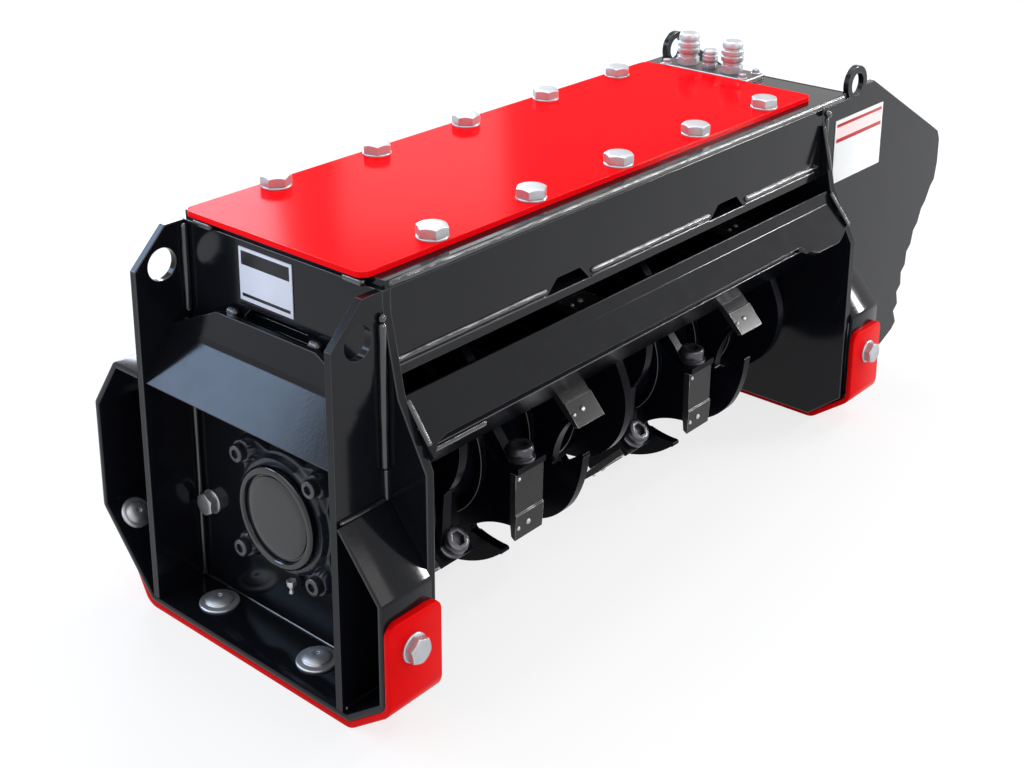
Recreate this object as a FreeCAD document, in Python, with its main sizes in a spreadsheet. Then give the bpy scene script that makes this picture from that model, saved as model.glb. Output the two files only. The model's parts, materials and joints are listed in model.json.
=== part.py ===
"""Excavator mulcher: a toothed rotor in an open steel housing with a bolted top plate.

Lengths are in millimetres. The model is drawn from the near end (the bearing end), with the
rotor along +X, the open side of the housing towards -Y and the ground at z = 0. Every sub-part
is then moved by the same placement, so that the origin lies under the middle of the machine.
"""
import FreeCAD, Part
import Sketcher

import math
import os

Vector = FreeCAD.Vector

# Driving dimensions: alias, value, what it is.
SIZES = [
    ("work_width", 890, "between the inner faces of the end plates"),
    ("cheek_length", 75, "side plate beyond the near end plate"),
    ("guard_length", 383, "side plate beyond the far end plate"),
    ("end_plate", 12, "thickness of the end plates"),
    ("half_width", 169, "middle of the housing to the outer face of a side plate"),
    ("side_plate", 10, "thickness of the side plates"),
    ("box_top", 495, "top edge of the side plates"),
    ("box_bottom", 401, "bottom edge of the side plates between the end plates"),
    ("box_floor", 12, "thickness of the box floor"),
    ("deck", 10, "thickness of the deck"),
    ("deck_start", 80, "near edge of the deck"),
    ("deck_overhang", 53, "deck beyond the far end plate"),
    ("deck_inset", 6, "back edge of the deck inside the back side plates"),
    ("cheek_chamfer", 46, "corner cut of the cheek"),
    ("cheek_hole", 20, "radius of the lifting hole in the cheek"),
    ("cheek_hole_in", 39, "lifting hole from the near edge"),
    ("cheek_hole_drop", 47, "lifting hole below the top edge"),
    ("notch_width", 80, "notch in the bottom edge of the box"),
    ("notch_height", 18, "depth of that notch"),
    ("notch_first", 262, "first notch from the near end plate"),
    ("notch_pitch", 344, "between the two notches"),
    ("guard_slope", 243, "sloped top of the guard, measured from its tip"),
    ("guard_corner", 371, "height of the blunt corner of the guard"),
    ("guard_bottom", 38, "height of the bottom edge of the guard"),
    ("guard_curve", 98, "how far the free edge of the guard curves inwards"),
    ("lug_place", 88, "far lug beyond the far end plate"),
    ("lug_radius", 28, "outer radius of the far lug"),
    ("lug_rise", 17, "far lug's hole above the top edge"),
    ("lug_hole", 17, "radius of the far lug's hole"),
    ("lug_shoulder", 12, "step behind the far lug above the top edge"),
    ("cover", 7, "thickness of the cover plate"),
    ("cover_start", 66, "near edge of the cover plate"),
    ("cover_length", 911, "length of the cover plate"),
    ("cover_half", 150, "half the width of the cover plate"),
    ("cover_round", 14, "corner radius of the cover plate"),
    ("bolt_first", 193, "first row of mounting bolts"),
    ("bolt_pitch", 171, "between the rows of mounting bolts"),
    ("bolt_line", 130, "mounting bolts to each side of the housing's middle"),
    ("bolt_hole", 12.5, "radius of the mounting holes"),
    ("axis_height", 172, "rotor axis above the ground"),
    ("axis_offset", -9, "rotor axis behind the middle of the housing, so in front where negative"),
    ("front_reach", 61, "front edge of the end plates beyond the side plates"),
    ("back_reach", 87, "back edge of the end plates beyond the side plates"),
    ("skid", 8, "thickness of the skid strips"),
    ("skid_out", 6, "outer face of the skid strips beyond the end plates"),
    ("front_rise", 51, "lower front corner of the skid strips"),
    ("front_top", 179, "upper front corner of the skid strips"),
    ("strip_front_end", 250, "where the skid strips meet the front cheeks"),
    ("back_rise", 108, "lower back corner of the skid strips"),
    ("back_top", 252, "upper back corner of the skid strips"),
    ("strip_back_end", 320, "where the skid strips meet the back cheeks"),
    ("shoe", 8, "thickness of the wear shoes"),
    ("shoe_lap", 7, "how far a wear shoe laps under the end plate"),
    ("shoe_height", 156, "top of the wear shoe's front face"),
    ("shoe_bolt", 18, "radius of the shoe bolt's washer"),
    ("shoe_bolt_head", 13, "height of the shoe bolt"),
    ("bar_plate", 8, "thickness of the front bar"),
    ("hood", 8, "thickness of the back hood"),
    ("hood_bottom", 150, "bottom edge of the back hood"),
    ("guard_plate", 8, "thickness of the bearing guard and of the motor guard's top"),
    ("guard_rise", 405, "highest edge of the bearing guard"),
    ("guard_fold", 362, "fold of the bearing guard"),
    ("guard_corner_cut", 75, "how far the bearing guard's corner cuts reach in"),
    ("slot_half", 57, "half the length of the slot above the bearing guard"),
    ("slot_top", 412, "top of that slot"),
    ("slot_height", 34, "height of that slot"),
    ("guard_low", 304, "lowest edge of the bearing guard"),
    ("shaft_hole", 62, "radius of the shaft opening in the end plates"),
    ("shaft", 35, "radius of the rotor shaft"),
    ("shaft_gap", 0.3, "running gap of the shaft in its bearings"),
    ("flange_half", 80, "half the side of the square bearing flanges"),
    ("flange", 16, "thickness of the bearing flanges"),
    ("cap", 65, "radius of the bearing cap"),
    ("cap_depth", 10, "height of the bearing cap"),
    ("drum", 84, "radius of the rotor drum"),
    ("drum_wall", 16, "wall of the rotor drum"),
    ("drum_gap", 9, "gap between the rotor and each end plate"),
    ("rotor_end", 14, "thickness of the rotor's end discs"),
    ("rotor_end_height", 28, "edge of the rotor's end discs above the drum"),
    ("ring_height", 14, "height of the rings beside the teeth, above the drum"),
    ("ring_width", 10, "width of those rings"),
    ("ring_gap", 3, "gap between a ring and the teeth beside it"),
    ("station_first", 66, "first tooth station from the near end plate"),
    ("station_pitch", 93, "between tooth stations"),
    ("disc", 14, "thickness of a limiter disc"),
    ("disc_offset", 13, "middle of a limiter disc before the middle of its teeth"),
    ("tip", 170, "radius of the tooth tips"),
    ("nose_drop", 1, "limiter noses inside the circle of the tooth tips"),
    ("seat_drop", 36, "tooth seats inside that circle, as flats"),
    ("tooth_width", 53, "width of a tooth"),
    ("motor", 72, "radius of the drive motor"),
    ("motor_length", 150, "length of the round part of the drive motor"),
    ("motor_head", 55, "length of the square head of the drive motor"),
    ("port_plate", 8, "thickness of the port plate"),
    ("port_length", 160, "length of the port plate across the machine"),
    ("coupling", 17.5, "radius of the large couplings"),
    ("coupling_height", 50, "height of the large couplings"),
]


class Term:
    """A length that is known both as a number and as the expression that gives it."""

    def __init__(self, number, text):
        self.number = float(number)
        self.text = text

    def join(self, other, sign, number):
        return Term(number, "(%s %s %s)" % (self.text, sign, as_term(other).text))

    def __add__(self, other):
        return self.join(other, "+", self.number + as_term(other).number)

    def __sub__(self, other):
        return self.join(other, "-", self.number - as_term(other).number)

    def __mul__(self, other):
        return self.join(other, "*", self.number * as_term(other).number)

    def __truediv__(self, other):
        return self.join(other, "/", self.number / as_term(other).number)

    def __neg__(self):
        return self * -1


def as_term(value):
    """A plain number as a Term, and a Term as it is."""
    return value if isinstance(value, Term) else Term(value, "%g" % value)


def make_sheet(document):
    """The spreadsheet of driving dimensions."""
    table = document.addObject("Spreadsheet::Sheet", "Sizes")
    for row, (alias, value, meaning) in enumerate(SIZES, start=1):
        table.set("A%d" % row, alias)
        table.set("B%d" % row, "%g" % value)
        table.set("C%d" % row, meaning)
        table.setAlias("B%d" % row, alias)
    document.recompute()
    return table


doc = FreeCAD.newDocument("ExcavatorMulcher")
sheet = make_sheet(doc)


def size(alias):
    """A driving dimension as a Term."""
    return Term(sheet.get(alias), "Sizes.%s" % alias)


# Places that several sub-parts share, from the near end, the housing's middle and the ground.
near_face = size("cheek_length")
near_inner = near_face + size("end_plate")
far_inner = near_inner + size("work_width")
far_face = far_inner + size("end_plate")
total_length = far_face + size("guard_length")
deck_end = far_face + size("deck_overhang")
half_width = size("half_width")
inner_half = half_width - size("side_plate")
axis_y = size("axis_offset")
axis_z = size("axis_height")
box_top = size("box_top")
box_bottom = size("box_bottom")
floor_bottom = box_bottom - size("box_floor")
deck_top = box_top + size("deck")
cover_top = deck_top + size("cover")
skid_bottom = size("shoe")
cheek_bottom = skid_bottom + size("skid")
front_edge = half_width + size("front_reach")
back_edge = half_width + size("back_reach")
front_skid = -(front_edge + size("skid_out"))
back_skid = back_edge + size("skid_out")
front_end = front_skid - size("shoe") - size("shoe_bolt_head")
middle_y = (front_end + back_skid) / 2
PARTS = []


def bind(item, name, term):
    """Sets a property to a Term and ties it to the sheet."""
    term = as_term(term)
    setattr(item, name, term.number)
    item.setExpression(name, term.text)


def place(item):
    """Moves a finished sub-part so that the origin is under the middle of the machine."""
    item.setExpression("Placement.Base.x", (-total_length / 2).text)
    item.setExpression("Placement.Base.y", (-middle_y).text)
    PARTS.append(item)


def pin_point(sketch, curve, end, point):
    """Holds a point of a sketch at its own two coordinates."""
    for kind, term in (("DistanceX", point[0]), ("DistanceY", point[1])):
        term = as_term(term)
        index = sketch.addConstraint(Sketcher.Constraint(kind, -1, 1, curve, end, term.number))
        sketch.setExpression("Constraints[%d]" % index, term.text)


def draw_lines(sketch, points, closed):
    """Straight lines through the points, joined end to end."""
    first = len(sketch.Geometry)
    corners = [Vector(as_term(u).number, as_term(v).number, 0) for u, v in points]
    ends = corners[1:] + corners[:1] if closed else corners[1:]
    for start, end in zip(corners, ends):
        sketch.addGeometry(Part.LineSegment(start, end), False)
    last = first + len(ends) - 1
    for curve in range(first, last):
        sketch.addConstraint(Sketcher.Constraint("Coincident", curve, 2, curve + 1, 1))
    if closed:
        sketch.addConstraint(Sketcher.Constraint("Coincident", last, 2, first, 1))
    for number, point in enumerate(points):
        if first + number <= last:
            pin_point(sketch, first + number, 1, point)
        else:
            pin_point(sketch, last, 2, point)


def draw_circle(sketch, centre, radius):
    """A circle held by its centre and radius."""
    u, v = (as_term(term).number for term in centre)
    radius = as_term(radius)
    curve = sketch.addGeometry(Part.Circle(Vector(u, v, 0), Vector(0, 0, 1), radius.number), False)
    pin_point(sketch, curve, 3, centre)
    index = sketch.addConstraint(Sketcher.Constraint("Radius", curve, radius.number))
    sketch.setExpression("Constraints[%d]" % index, radius.text)


def new_body(label):
    """An empty body with its label."""
    body = doc.addObject("PartDesign::Body", label)
    body.Label = label
    return body


def body_sketch(body, name, plane, offset):
    """A sketch on one of the body's own origin planes, moved along that plane's normal."""
    sketch = body.newObject("Sketcher::SketchObject", name)
    support = [item for item in body.Origin.OriginFeatures if item.Role == plane]
    sketch.AttachmentSupport = [(support[0], "")]
    sketch.MapMode = "FlatFace"
    offset = as_term(offset)
    sketch.AttachmentOffset = FreeCAD.Placement(Vector(0, 0, offset.number), FreeCAD.Rotation())
    sketch.setExpression("AttachmentOffset.Base.z", offset.text)
    return sketch


def pad_outline(body, name, plane, start, depth, outlines, circles=()):
    """Pads closed outlines with round holes from start, over depth, along +X, +Y or +Z."""
    start = as_term(start)
    offset = -(start + depth) if plane == "XZ_Plane" else start
    sketch = body_sketch(body, name + "Sketch", plane, offset)
    for points in outlines:
        draw_lines(sketch, points, True)
    for centre, radius in circles:
        draw_circle(sketch, centre, radius)
    pad = body.newObject("PartDesign::Pad", name)
    pad.Profile = sketch
    bind(pad, "Length", depth)
    sketch.Visibility = False
    return pad


def plate(label, plane, start, depth, points, circles=()):
    """A flat plate with holes as a sub-part of its own."""
    body = new_body(label)
    pad_outline(body, label + "Plate", plane, start, depth, [points], circles)
    place(body)
    return body


def bent_sheet(label, along, start, width, path, thickness):
    """A bent plate: an open path, thickened to one side and drawn out along +X or +Y.

    The path runs in the plane across that direction, with Z up, and the plate lies to the left
    of the path's direction where thickness is positive.
    """
    sketch = doc.addObject("Sketcher::SketchObject", label + "Path")
    start = as_term(start)
    if along == "X":
        turned = FreeCAD.Rotation(Vector(0, 1, 0), Vector(0, 0, 1), Vector(1, 0, 0), "XYZ")
        sketch.Placement = FreeCAD.Placement(Vector(start.number, 0, 0), turned)
        sketch.setExpression("Placement.Base.x", start.text)
    else:
        turned = FreeCAD.Rotation(Vector(1, 0, 0), Vector(0, 0, 1), Vector(0, -1, 0), "XYZ")
        sketch.Placement = FreeCAD.Placement(Vector(0, start.number, 0), turned)
        sketch.setExpression("Placement.Base.y", start.text)
    draw_lines(sketch, path, False)
    skin = doc.addObject("Part::Offset2D", label + "Skin")
    skin.Source = sketch
    skin.Mode = "Skin"
    skin.Join = "Intersection"
    skin.Fill = True
    bind(skin, "Value", -as_term(thickness))
    strip = doc.addObject("Part::Extrusion", label)
    strip.Label = label
    strip.Base = skin
    strip.DirMode = "Custom"
    strip.Dir = Vector(1, 0, 0) if along == "X" else Vector(0, 1, 0)
    strip.Solid = True
    bind(strip, "LengthFwd", width)
    return strip


def bent_plate(label, along, start, width, path, thickness):
    """A bent plate as a sub-part of its own."""
    place(bent_sheet(label, along, start, width, path, thickness))


def ring_solid(label, start, depth, centre, outer, inner):
    """A round plate or tube along X with a round hole."""
    body = new_body(label)
    circles = [(centre, outer)]
    if inner is not None:
        circles.append((centre, inner))
    pad_outline(body, label + "Ring", "YZ_Plane", start, depth, [], circles)
    place(body)
    return body


def pocket_circles(body, name, plane, circles):
    """Round holes right through a body, both ways from the origin plane."""
    sketch = body_sketch(body, name + "Sketch", plane, 0)
    for centre, radius in circles:
        draw_circle(sketch, centre, radius)
    pocket = body.newObject("PartDesign::Pocket", name)
    pocket.Profile = sketch
    pocket.Type = "ThroughAll"
    pocket.SideType = "Symmetric"
    sketch.Visibility = False
    return pocket


def notch(start, width):
    """Four corners of a trapezoidal notch in the bottom edge of the box."""
    height = size("notch_height")
    return [
        (start, box_bottom),
        (start + height, box_bottom + height),
        (start + width - height, box_bottom + height),
        (start + width, box_bottom),
    ]


GUARD_TEETH = 8


def guard_edge():
    """The free edge of the guard: shallow teeth on a line that curves inwards as it drops."""
    top = size("guard_corner") - 83
    fall = top - size("guard_bottom") - 24
    points = []
    for tooth in range(GUARD_TEETH):
        share = tooth / (GUARD_TEETH - 1.0)
        crest = total_length - 6 - size("guard_curve") * (1 - (1 - share) ** 2)
        height = top - fall * share
        points.append((crest, height))
        points.append((crest - 12, height - 10))
    return points


def cheek(label, start):
    """Side plate of the bearing bay, with its cut corner and lifting hole."""
    chamfer = size("cheek_chamfer")
    points = [
        (0, cheek_bottom),
        (near_face, cheek_bottom),
        (near_face, box_top),
        (chamfer, box_top),
        (0, box_top - chamfer),
    ]
    hole = (size("cheek_hole_in"), box_top - size("cheek_hole_drop"))
    plate(label, "XZ_Plane", start, size("side_plate"), points, [(hole, size("cheek_hole"))])


def box_side(label, start):
    """Side plate of the box beam, with two notches in its bottom edge."""
    first = near_inner + size("notch_first")
    second = first + size("notch_pitch")
    points = [(far_inner, box_top), (near_inner, box_top), (near_inner, box_bottom)]
    points += notch(first, size("notch_width"))
    points += notch(second, size("notch_width"))
    points.append((far_inner, box_bottom))
    plate(label, "XZ_Plane", start, size("side_plate"), points)


def guard_side(label, start):
    """Side plate of the motor guard, with the far lifting lug."""
    skid_end = far_face + near_face
    lug_centre = (far_face + size("lug_place"), box_top + size("lug_rise"))
    shoulder = box_top + size("lug_shoulder")
    points = [
        (far_face, cheek_bottom),
        (far_face, box_top),
        (lug_centre[0], box_top),
        (lug_centre[0], shoulder),
        (total_length - size("guard_slope"), shoulder),
        (total_length - 28, size("guard_corner") + 14),
        (total_length - 8, size("guard_corner") + 2),
        (total_length, size("guard_corner") - 14),
        (total_length, size("guard_corner") - 54),
    ]
    points += guard_edge()
    points += [
        (total_length - size("guard_curve") - 54, size("guard_bottom")),
        (skid_end, size("guard_bottom")),
        (skid_end, cheek_bottom),
    ]
    thick = size("side_plate")
    body = new_body(label)
    pad_outline(body, label + "Plate", "XZ_Plane", start, thick, [points])
    pad_outline(body, label + "Lug", "XZ_Plane", start, thick, [], [(lug_centre, size("lug_radius"))])
    pocket_circles(body, label + "Hole", "XZ_Plane", [(lug_centre, size("lug_hole"))])
    place(body)


def end_plate(label, start, slots):
    """End plate with its wings and openings; the side plates stand against it."""
    points = [
        (-half_width, box_top),
        (half_width, box_top),
        (half_width, box_top - 18),
        (half_width + 20, box_bottom),
        (back_edge, box_bottom - 91),
        (back_edge, size("back_rise") - 4),
        (half_width + 4, skid_bottom),
        (-half_width - 9, skid_bottom),
        (-front_edge, size("front_rise") - 1),
        (-front_edge, box_bottom - 100),
        (-half_width - 21, box_bottom - 25),
        (-half_width, box_top - 18),
    ]
    opening = [((axis_y, axis_z), size("shaft_hole"))]
    body = new_body(label)
    pad_outline(body, label + "Plate", "YZ_Plane", start, size("end_plate"), [points] + slots, opening)
    place(body)


def access_slot():
    """Slot with cut corners in the near end plate, just above the bearing guard."""
    half = size("slot_half")
    top = size("slot_top")
    corner = size("slot_height") / 3
    low = top - size("slot_height")
    return [
        (-half, low),
        (half, low),
        (half, top - corner),
        (half - corner, top),
        (-half + corner, top),
        (-half, top - corner),
    ]


def bolt_places():
    """Centres of the ten mounting bolts, front line first."""
    places = []
    for line in (-1, 1):
        for row in range(5):
            x = size("bolt_first") + size("bolt_pitch") * row
            places.append((x, size("bolt_line") * line))
    return places


def round_corners(body, radius):
    """Rounds the four upright corner edges of a body's last pad."""
    doc.recompute()
    pad = body.Tip
    names = []
    for number, edge in enumerate(pad.Shape.Edges, start=1):
        ends = [vertex.Point for vertex in edge.Vertexes]
        upright = len(ends) == 2 and abs(ends[0].z - ends[1].z) > 1
        if upright and edge.Curve.TypeId == "Part::GeomLine":
            names.append("Edge%d" % number)
    fillet = body.newObject("PartDesign::Fillet", body.Label + "Corners")
    fillet.Base = (pad, names)
    bind(fillet, "Radius", radius)


def deck_and_cover():
    """The deck on top of the side plates and the bolted cover plate on the deck."""
    start = size("deck_start")
    back = half_width - size("deck_inset")
    corners = [(start, -half_width), (deck_end, -half_width), (deck_end, back), (start, back)]
    holes = [(centre, size("bolt_hole")) for centre in bolt_places()]
    plate("deck_plate", "XY_Plane", box_top, size("deck"), corners, holes)
    first = size("cover_start")
    last = first + size("cover_length")
    side = size("cover_half")
    corners = [(first, -side), (last, -side), (last, side), (first, side)]
    cover = plate("cover_plate", "XY_Plane", deck_top, size("cover"), corners, holes)
    round_corners(cover, size("cover_round"))


def box_and_bar():
    """Box floor, front bar, counter knife and back hood, all between the end plates."""
    width = size("work_width")
    floor = [
        (-half_width, floor_bottom),
        (half_width, floor_bottom),
        (half_width, box_bottom),
        (-half_width, box_bottom),
    ]
    plate("box_floor", "YZ_Plane", near_inner, width, floor)
    bar_top = (-half_width - 17, box_bottom - 27)
    bar_fold = (-half_width - 24, box_bottom - 43)
    bar_foot = (-half_width - 53, box_bottom - 75)
    bent_plate("front_bar", "X", near_inner, width, [bar_top, bar_fold, bar_foot], size("bar_plate"))
    # The knife starts at the bar's inner lower corner: the bar's face falls by 32 in 29.
    slant = math.hypot(32, 29)
    root = (bar_foot[0] + size("bar_plate") * (32 / slant), bar_foot[1] - size("bar_plate") * (29 / slant))
    knife = [
        root,
        (root[0] + 11, root[1] + 12),
        (root[0] + 61, root[1] - 47),
        (root[0] + 49, root[1] - 58),
    ]
    plate("counter_knife", "YZ_Plane", near_inner, width, knife)
    hood = [
        (back_edge - 6, size("hood_bottom")),
        (back_edge - 6, box_bottom - 95),
        (half_width + 19, floor_bottom),
        (half_width - 29, floor_bottom),
    ]
    bent_plate("back_hood", "X", near_inner, width, hood, size("hood"))


def skid_and_shoe(side, start, shoe_start):
    """Bent skid strip beside an end plate, and the wear shoe below both of them."""
    low_front = (-half_width - 9, skid_bottom)
    low_back = (half_width + 4, skid_bottom)
    high_back = (back_skid, size("back_rise"))
    strip = [
        (-half_width - 6, size("strip_front_end")),
        (front_skid, size("front_top")),
        (front_skid, size("front_rise")),
        low_front,
        low_back,
        high_back,
        (back_skid, size("back_top")),
        (back_skid - 46, size("strip_back_end")),
        (half_width, size("strip_back_end")),
    ]
    bent_plate("skid_strip_" + side, "X", start, near_face, strip, size("skid"))
    # The shoe ends nine tenths of the way up the back slope.
    reach = (high_back[0] - low_back[0]) * 0.9
    rise = (high_back[1] - low_back[1]) * 0.9
    shoe = [
        (front_skid, size("shoe_height")),
        (front_skid, size("front_rise")),
        low_front,
        low_back,
        (low_back[0] + reach, low_back[1] + rise),
    ]
    width = near_face + size("shoe_lap")
    bent_plate("wear_shoe_" + side, "X", shoe_start, width, shoe, -size("shoe"))


def shoe_bolts():
    """The bolt with its washer in the front face of each wear shoe."""
    body = new_body("shoe_bolts")
    height = size("shoe_height") - 40
    middle = near_face / 2
    outer = front_skid - size("shoe")
    head = size("shoe_bolt_head")
    circles = [((start + middle, height), size("shoe_bolt")) for start in (as_term(0), far_face)]
    pad_outline(body, "ShoeBoltHeads", "XZ_Plane", outer - head, head, [], circles)
    place(body)


def axis_square(half):
    """Four corners of an upright square about the rotor axis."""
    return [
        (axis_y - half, axis_z - half),
        (axis_y + half, axis_z - half),
        (axis_y + half, axis_z + half),
        (axis_y - half, axis_z + half),
    ]


def bearing(side, start, cap_start, cap_depth):
    """Square bearing flange on an end plate, with the shaft's running clearance."""
    square = axis_square(size("flange_half"))
    bore = [((axis_y, axis_z), size("shaft") + size("shaft_gap"))]
    plate("bearing_flange_" + side, "YZ_Plane", start, size("flange"), square, bore)
    if cap_depth is not None:
        ring_solid("bearing_cap_" + side, cap_start, cap_depth, (axis_y, axis_z), size("cap"), None)


def drive_motor():
    """The hydraulic motor behind the far bearing: a round case and a square head."""
    start = far_face + size("flange")
    body = new_body("drive_motor")
    case = [((axis_y, axis_z), size("motor"))]
    pad_outline(body, "MotorCase", "YZ_Plane", start, size("motor_length"), [], case)
    head = start + size("motor_length")
    square = axis_square(size("motor") * 0.9)
    pad_outline(body, "MotorHead", "YZ_Plane", head, size("motor_head"), [square])
    place(body)


def bearing_guard():
    """Folded guard over the near bearing, with its two upper corners cut off."""
    rise = size("guard_rise")
    fold = size("guard_fold")
    low = size("guard_low")
    path = [(near_face - 9, rise + 20), (near_face - 19, fold), (9, low)]
    folded = bent_sheet("BearingGuardFold", "Y", -inner_half, inner_half * 2, path, size("guard_plate"))
    corner = inner_half - size("guard_corner_cut")
    front_view = [
        (-inner_half, low - 30),
        (inner_half, low - 30),
        (inner_half, fold + 8),
        (corner, rise),
        (-corner, rise),
        (-inner_half, fold + 8),
    ]
    trim = new_body("BearingGuardTrim")
    pad_outline(trim, "BearingGuardOutline", "YZ_Plane", 0, near_face, [front_view])
    guard = doc.addObject("Part::Common", "bearing_guard")
    guard.Label = "bearing_guard"
    guard.Base = folded
    guard.Tool = trim
    place(guard)


def motor_guard_top():
    """Sloped plate over the motor, 30 mm below the guard's sloped top edge."""
    low = (total_length - 30, size("guard_corner") - 18)
    high = (total_length - size("guard_slope") - 10, box_top - 20)
    lip = (low[0], low[1] - 28)
    width = inner_half * 2
    bent_plate("motor_guard_top", "Y", -inner_half, width, [lip, low, high], size("guard_plate"))


def ports():
    """Port plate on the deck with its three hydraulic couplings."""
    first = deck_end - 62
    last = deck_end - 10
    length = size("port_length")
    low = -35
    corners = [
        (first, low),
        (last, low),
        (last, length + low),
        (first, length + low),
    ]
    plate("port_plate", "XY_Plane", deck_top, size("port_plate"), corners)
    body = new_body("hydraulic_couplings")
    base = deck_top + size("port_plate")
    middle = (first + last) / 2
    radius = size("coupling")
    tall = size("coupling_height")
    large = [((middle, 8), radius), ((middle, 88), radius)]
    small = [((middle, 48), radius * 0.7)]
    pad_outline(body, "LargeCouplings", "XY_Plane", base, tall, [], large)
    place(body)
    body = new_body("small_coupling")
    pad_outline(body, "SmallCoupling", "XY_Plane", base, tall * 0.6, [], small)
    place(body)


STATIONS = 9
STATION_TURN = 45


def polar(radius, degrees):
    """A point round the rotor axis; zero points to the front and angles rise upwards."""
    angle = math.radians(degrees)
    return Vector(0, -radius * math.cos(angle), radius * math.sin(angle))


def local(outwards, upwards):
    """A point by its distances out from the axis and up from it, for a tooth at the front."""
    return Vector(0, -outwards, upwards)


def line_through(points):
    """Straight edges through points."""
    return [Part.LineSegment(a, b).toShape() for a, b in zip(points, points[1:])]


def arc(start, middle, end):
    """A round edge through three points."""
    return Part.Arc(start, middle, end).toShape()


def turned(shape, degrees):
    """A copy turned about the rotor axis, by an angle that rises from the front upwards."""
    copy = shape.copy()
    copy.rotate(Vector(0, 0, 0), Vector(1, 0, 0), -degrees)
    return copy


def rotor_length():
    """Length of the rotor between the end plates, less its two gaps."""
    return size("work_width") - size("drum_gap") * 2


def rotor_numbers():
    """The rotor's sizes as plain numbers for the shapes made below."""
    names = ("disc", "disc_offset", "drum", "tip", "tooth_width", "axis_height")
    numbers = {name: size(name).number for name in names}
    numbers["nose"] = numbers["tip"] - size("nose_drop").number
    numbers["seat"] = numbers["tip"] - size("seat_drop").number
    numbers["back"] = numbers["drum"] + 20
    # The throat lies most of the way out from the drum to the tooth seats.
    numbers["throat"] = numbers["drum"] + (numbers["seat"] - numbers["drum"]) * 0.78
    # The cutting edge is 8 mm out from the seat, and leads the rotor axis by this much.
    numbers["edge"] = numbers["seat"] + 8
    numbers["lead"] = math.sqrt(numbers["tip"] ** 2 - numbers["edge"] ** 2)
    return numbers


def disc_profile(n):
    """Limiter disc: two round hooked noses, each ahead of a tooth, with a wide throat between."""
    seat = n["seat"]
    throat = n["throat"]
    rise = n["nose"] - throat
    edges = []
    for turn in (0, 180):
        start = polar(n["back"], 42)
        under_tooth = local(seat, 15 - n["lead"])
        slope = polar(throat + (seat - throat) * 0.3, -45)
        hollow = polar(throat, -60)
        turn_out = polar(throat + rise * 0.21, -59)
        nose_inside = polar(throat + rise * 0.88, -46.8)
        nose = polar(n["nose"], -48.5)
        shoulder = polar(n["nose"], -75)
        end = polar(n["back"], -138)
        half = line_through([start, local(seat - 22, 30), local(seat, 0), under_tooth])
        half.append(arc(under_tooth, slope, hollow))
        half.append(arc(hollow, polar(throat + rise * 0.08, -61.2), turn_out))
        half.append(arc(turn_out, polar(throat + rise * 0.56, -52.6), nose_inside))
        half.append(arc(nose_inside, polar(throat + rise * 0.97, -46.4), nose))
        half.append(arc(nose, polar(n["nose"], -62), shoulder))
        half.append(arc(shoulder, polar(n["nose"] - 15, -100), end))
        edges += [turned(edge, turn) for edge in half]
    return Part.Face(Part.Wire(Part.sortEdges(edges)[0]))


def block_profile(n):
    """Tooth holder: the block behind and under a tooth, with a shelf over the tooth's head."""
    seat = n["seat"]
    front = 23 - n["lead"]
    points = [
        local(n["drum"] - 8, 36),
        local(seat - 22, 8),
        local(seat + 13, 8),
        local(seat + 13, 0),
        local(seat, 0),
        local(seat, front),
        local(seat - 12, front - 3),
        local(seat - 34, front + 4),
        local(n["drum"] - 8, front + 10),
    ]
    return Part.Face(Part.Wire(line_through(points + points[:1])))


def tooth_profile(n):
    """Tooth: a flat plate with a slanted cutting edge at its leading end."""
    seat = n["seat"]
    gap = 0.5
    points = [
        local(seat + gap, -gap),
        local(seat + 10, -gap),
        local(n["edge"] + 0.5, 7 - n["lead"]),
        local(n["edge"], -n["lead"]),
        local(n["edge"] - 6, 4 - n["lead"]),
        local(seat + gap, 18 - n["lead"]),
    ]
    return Part.Face(Part.Wire(line_through(points + points[:1])))


def slab(face, middle, width):
    """A flat face in the plane x = 0 made into a slab about the place middle."""
    solid = face.extrude(Vector(width, 0, 0))
    solid.translate(Vector(middle - width / 2, 0, 0))
    return solid


def rotor_feature(label, shape, turn, n):
    """Adds a finished rotor shape, turned about the axis, moved to it and placed with the rest."""
    item = doc.addObject("Part::Feature", label)
    item.Label = label
    item.Shape = shape
    rotation = FreeCAD.Rotation(Vector(1, 0, 0), -turn)
    item.Placement = FreeCAD.Placement(Vector(0, 0, n["axis_height"]), rotation)
    place(item)
    item.setExpression("Placement.Base.y", (axis_y - middle_y).text)


def rotor_stations():
    """Nine limiter discs with welded holders, each with its pair of bolted teeth."""
    n = rotor_numbers()
    first = (near_inner + size("station_first")).number
    pitch = size("station_pitch").number
    core = Part.makeCylinder(n["drum"], 4000, Vector(-1000, 0, 0), Vector(1, 0, 0))
    for station in range(STATIONS):
        middle = first + pitch * station
        turn = STATION_TURN * (station - 2)
        disc = slab(disc_profile(n), middle - n["disc_offset"], n["disc"])
        block = slab(block_profile(n), middle, n["tooth_width"])
        tooth = slab(tooth_profile(n), middle, n["tooth_width"])
        holder = disc.multiFuse([block, turned(block, 180)]).cut(core).removeSplitter()
        teeth = Part.makeCompound([tooth, turned(tooth, 180)])
        rotor_feature("rotor_disc_%d" % (station + 1), holder, turn, n)
        rotor_feature("rotor_teeth_%d" % (station + 1), teeth, turn, n)


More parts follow.
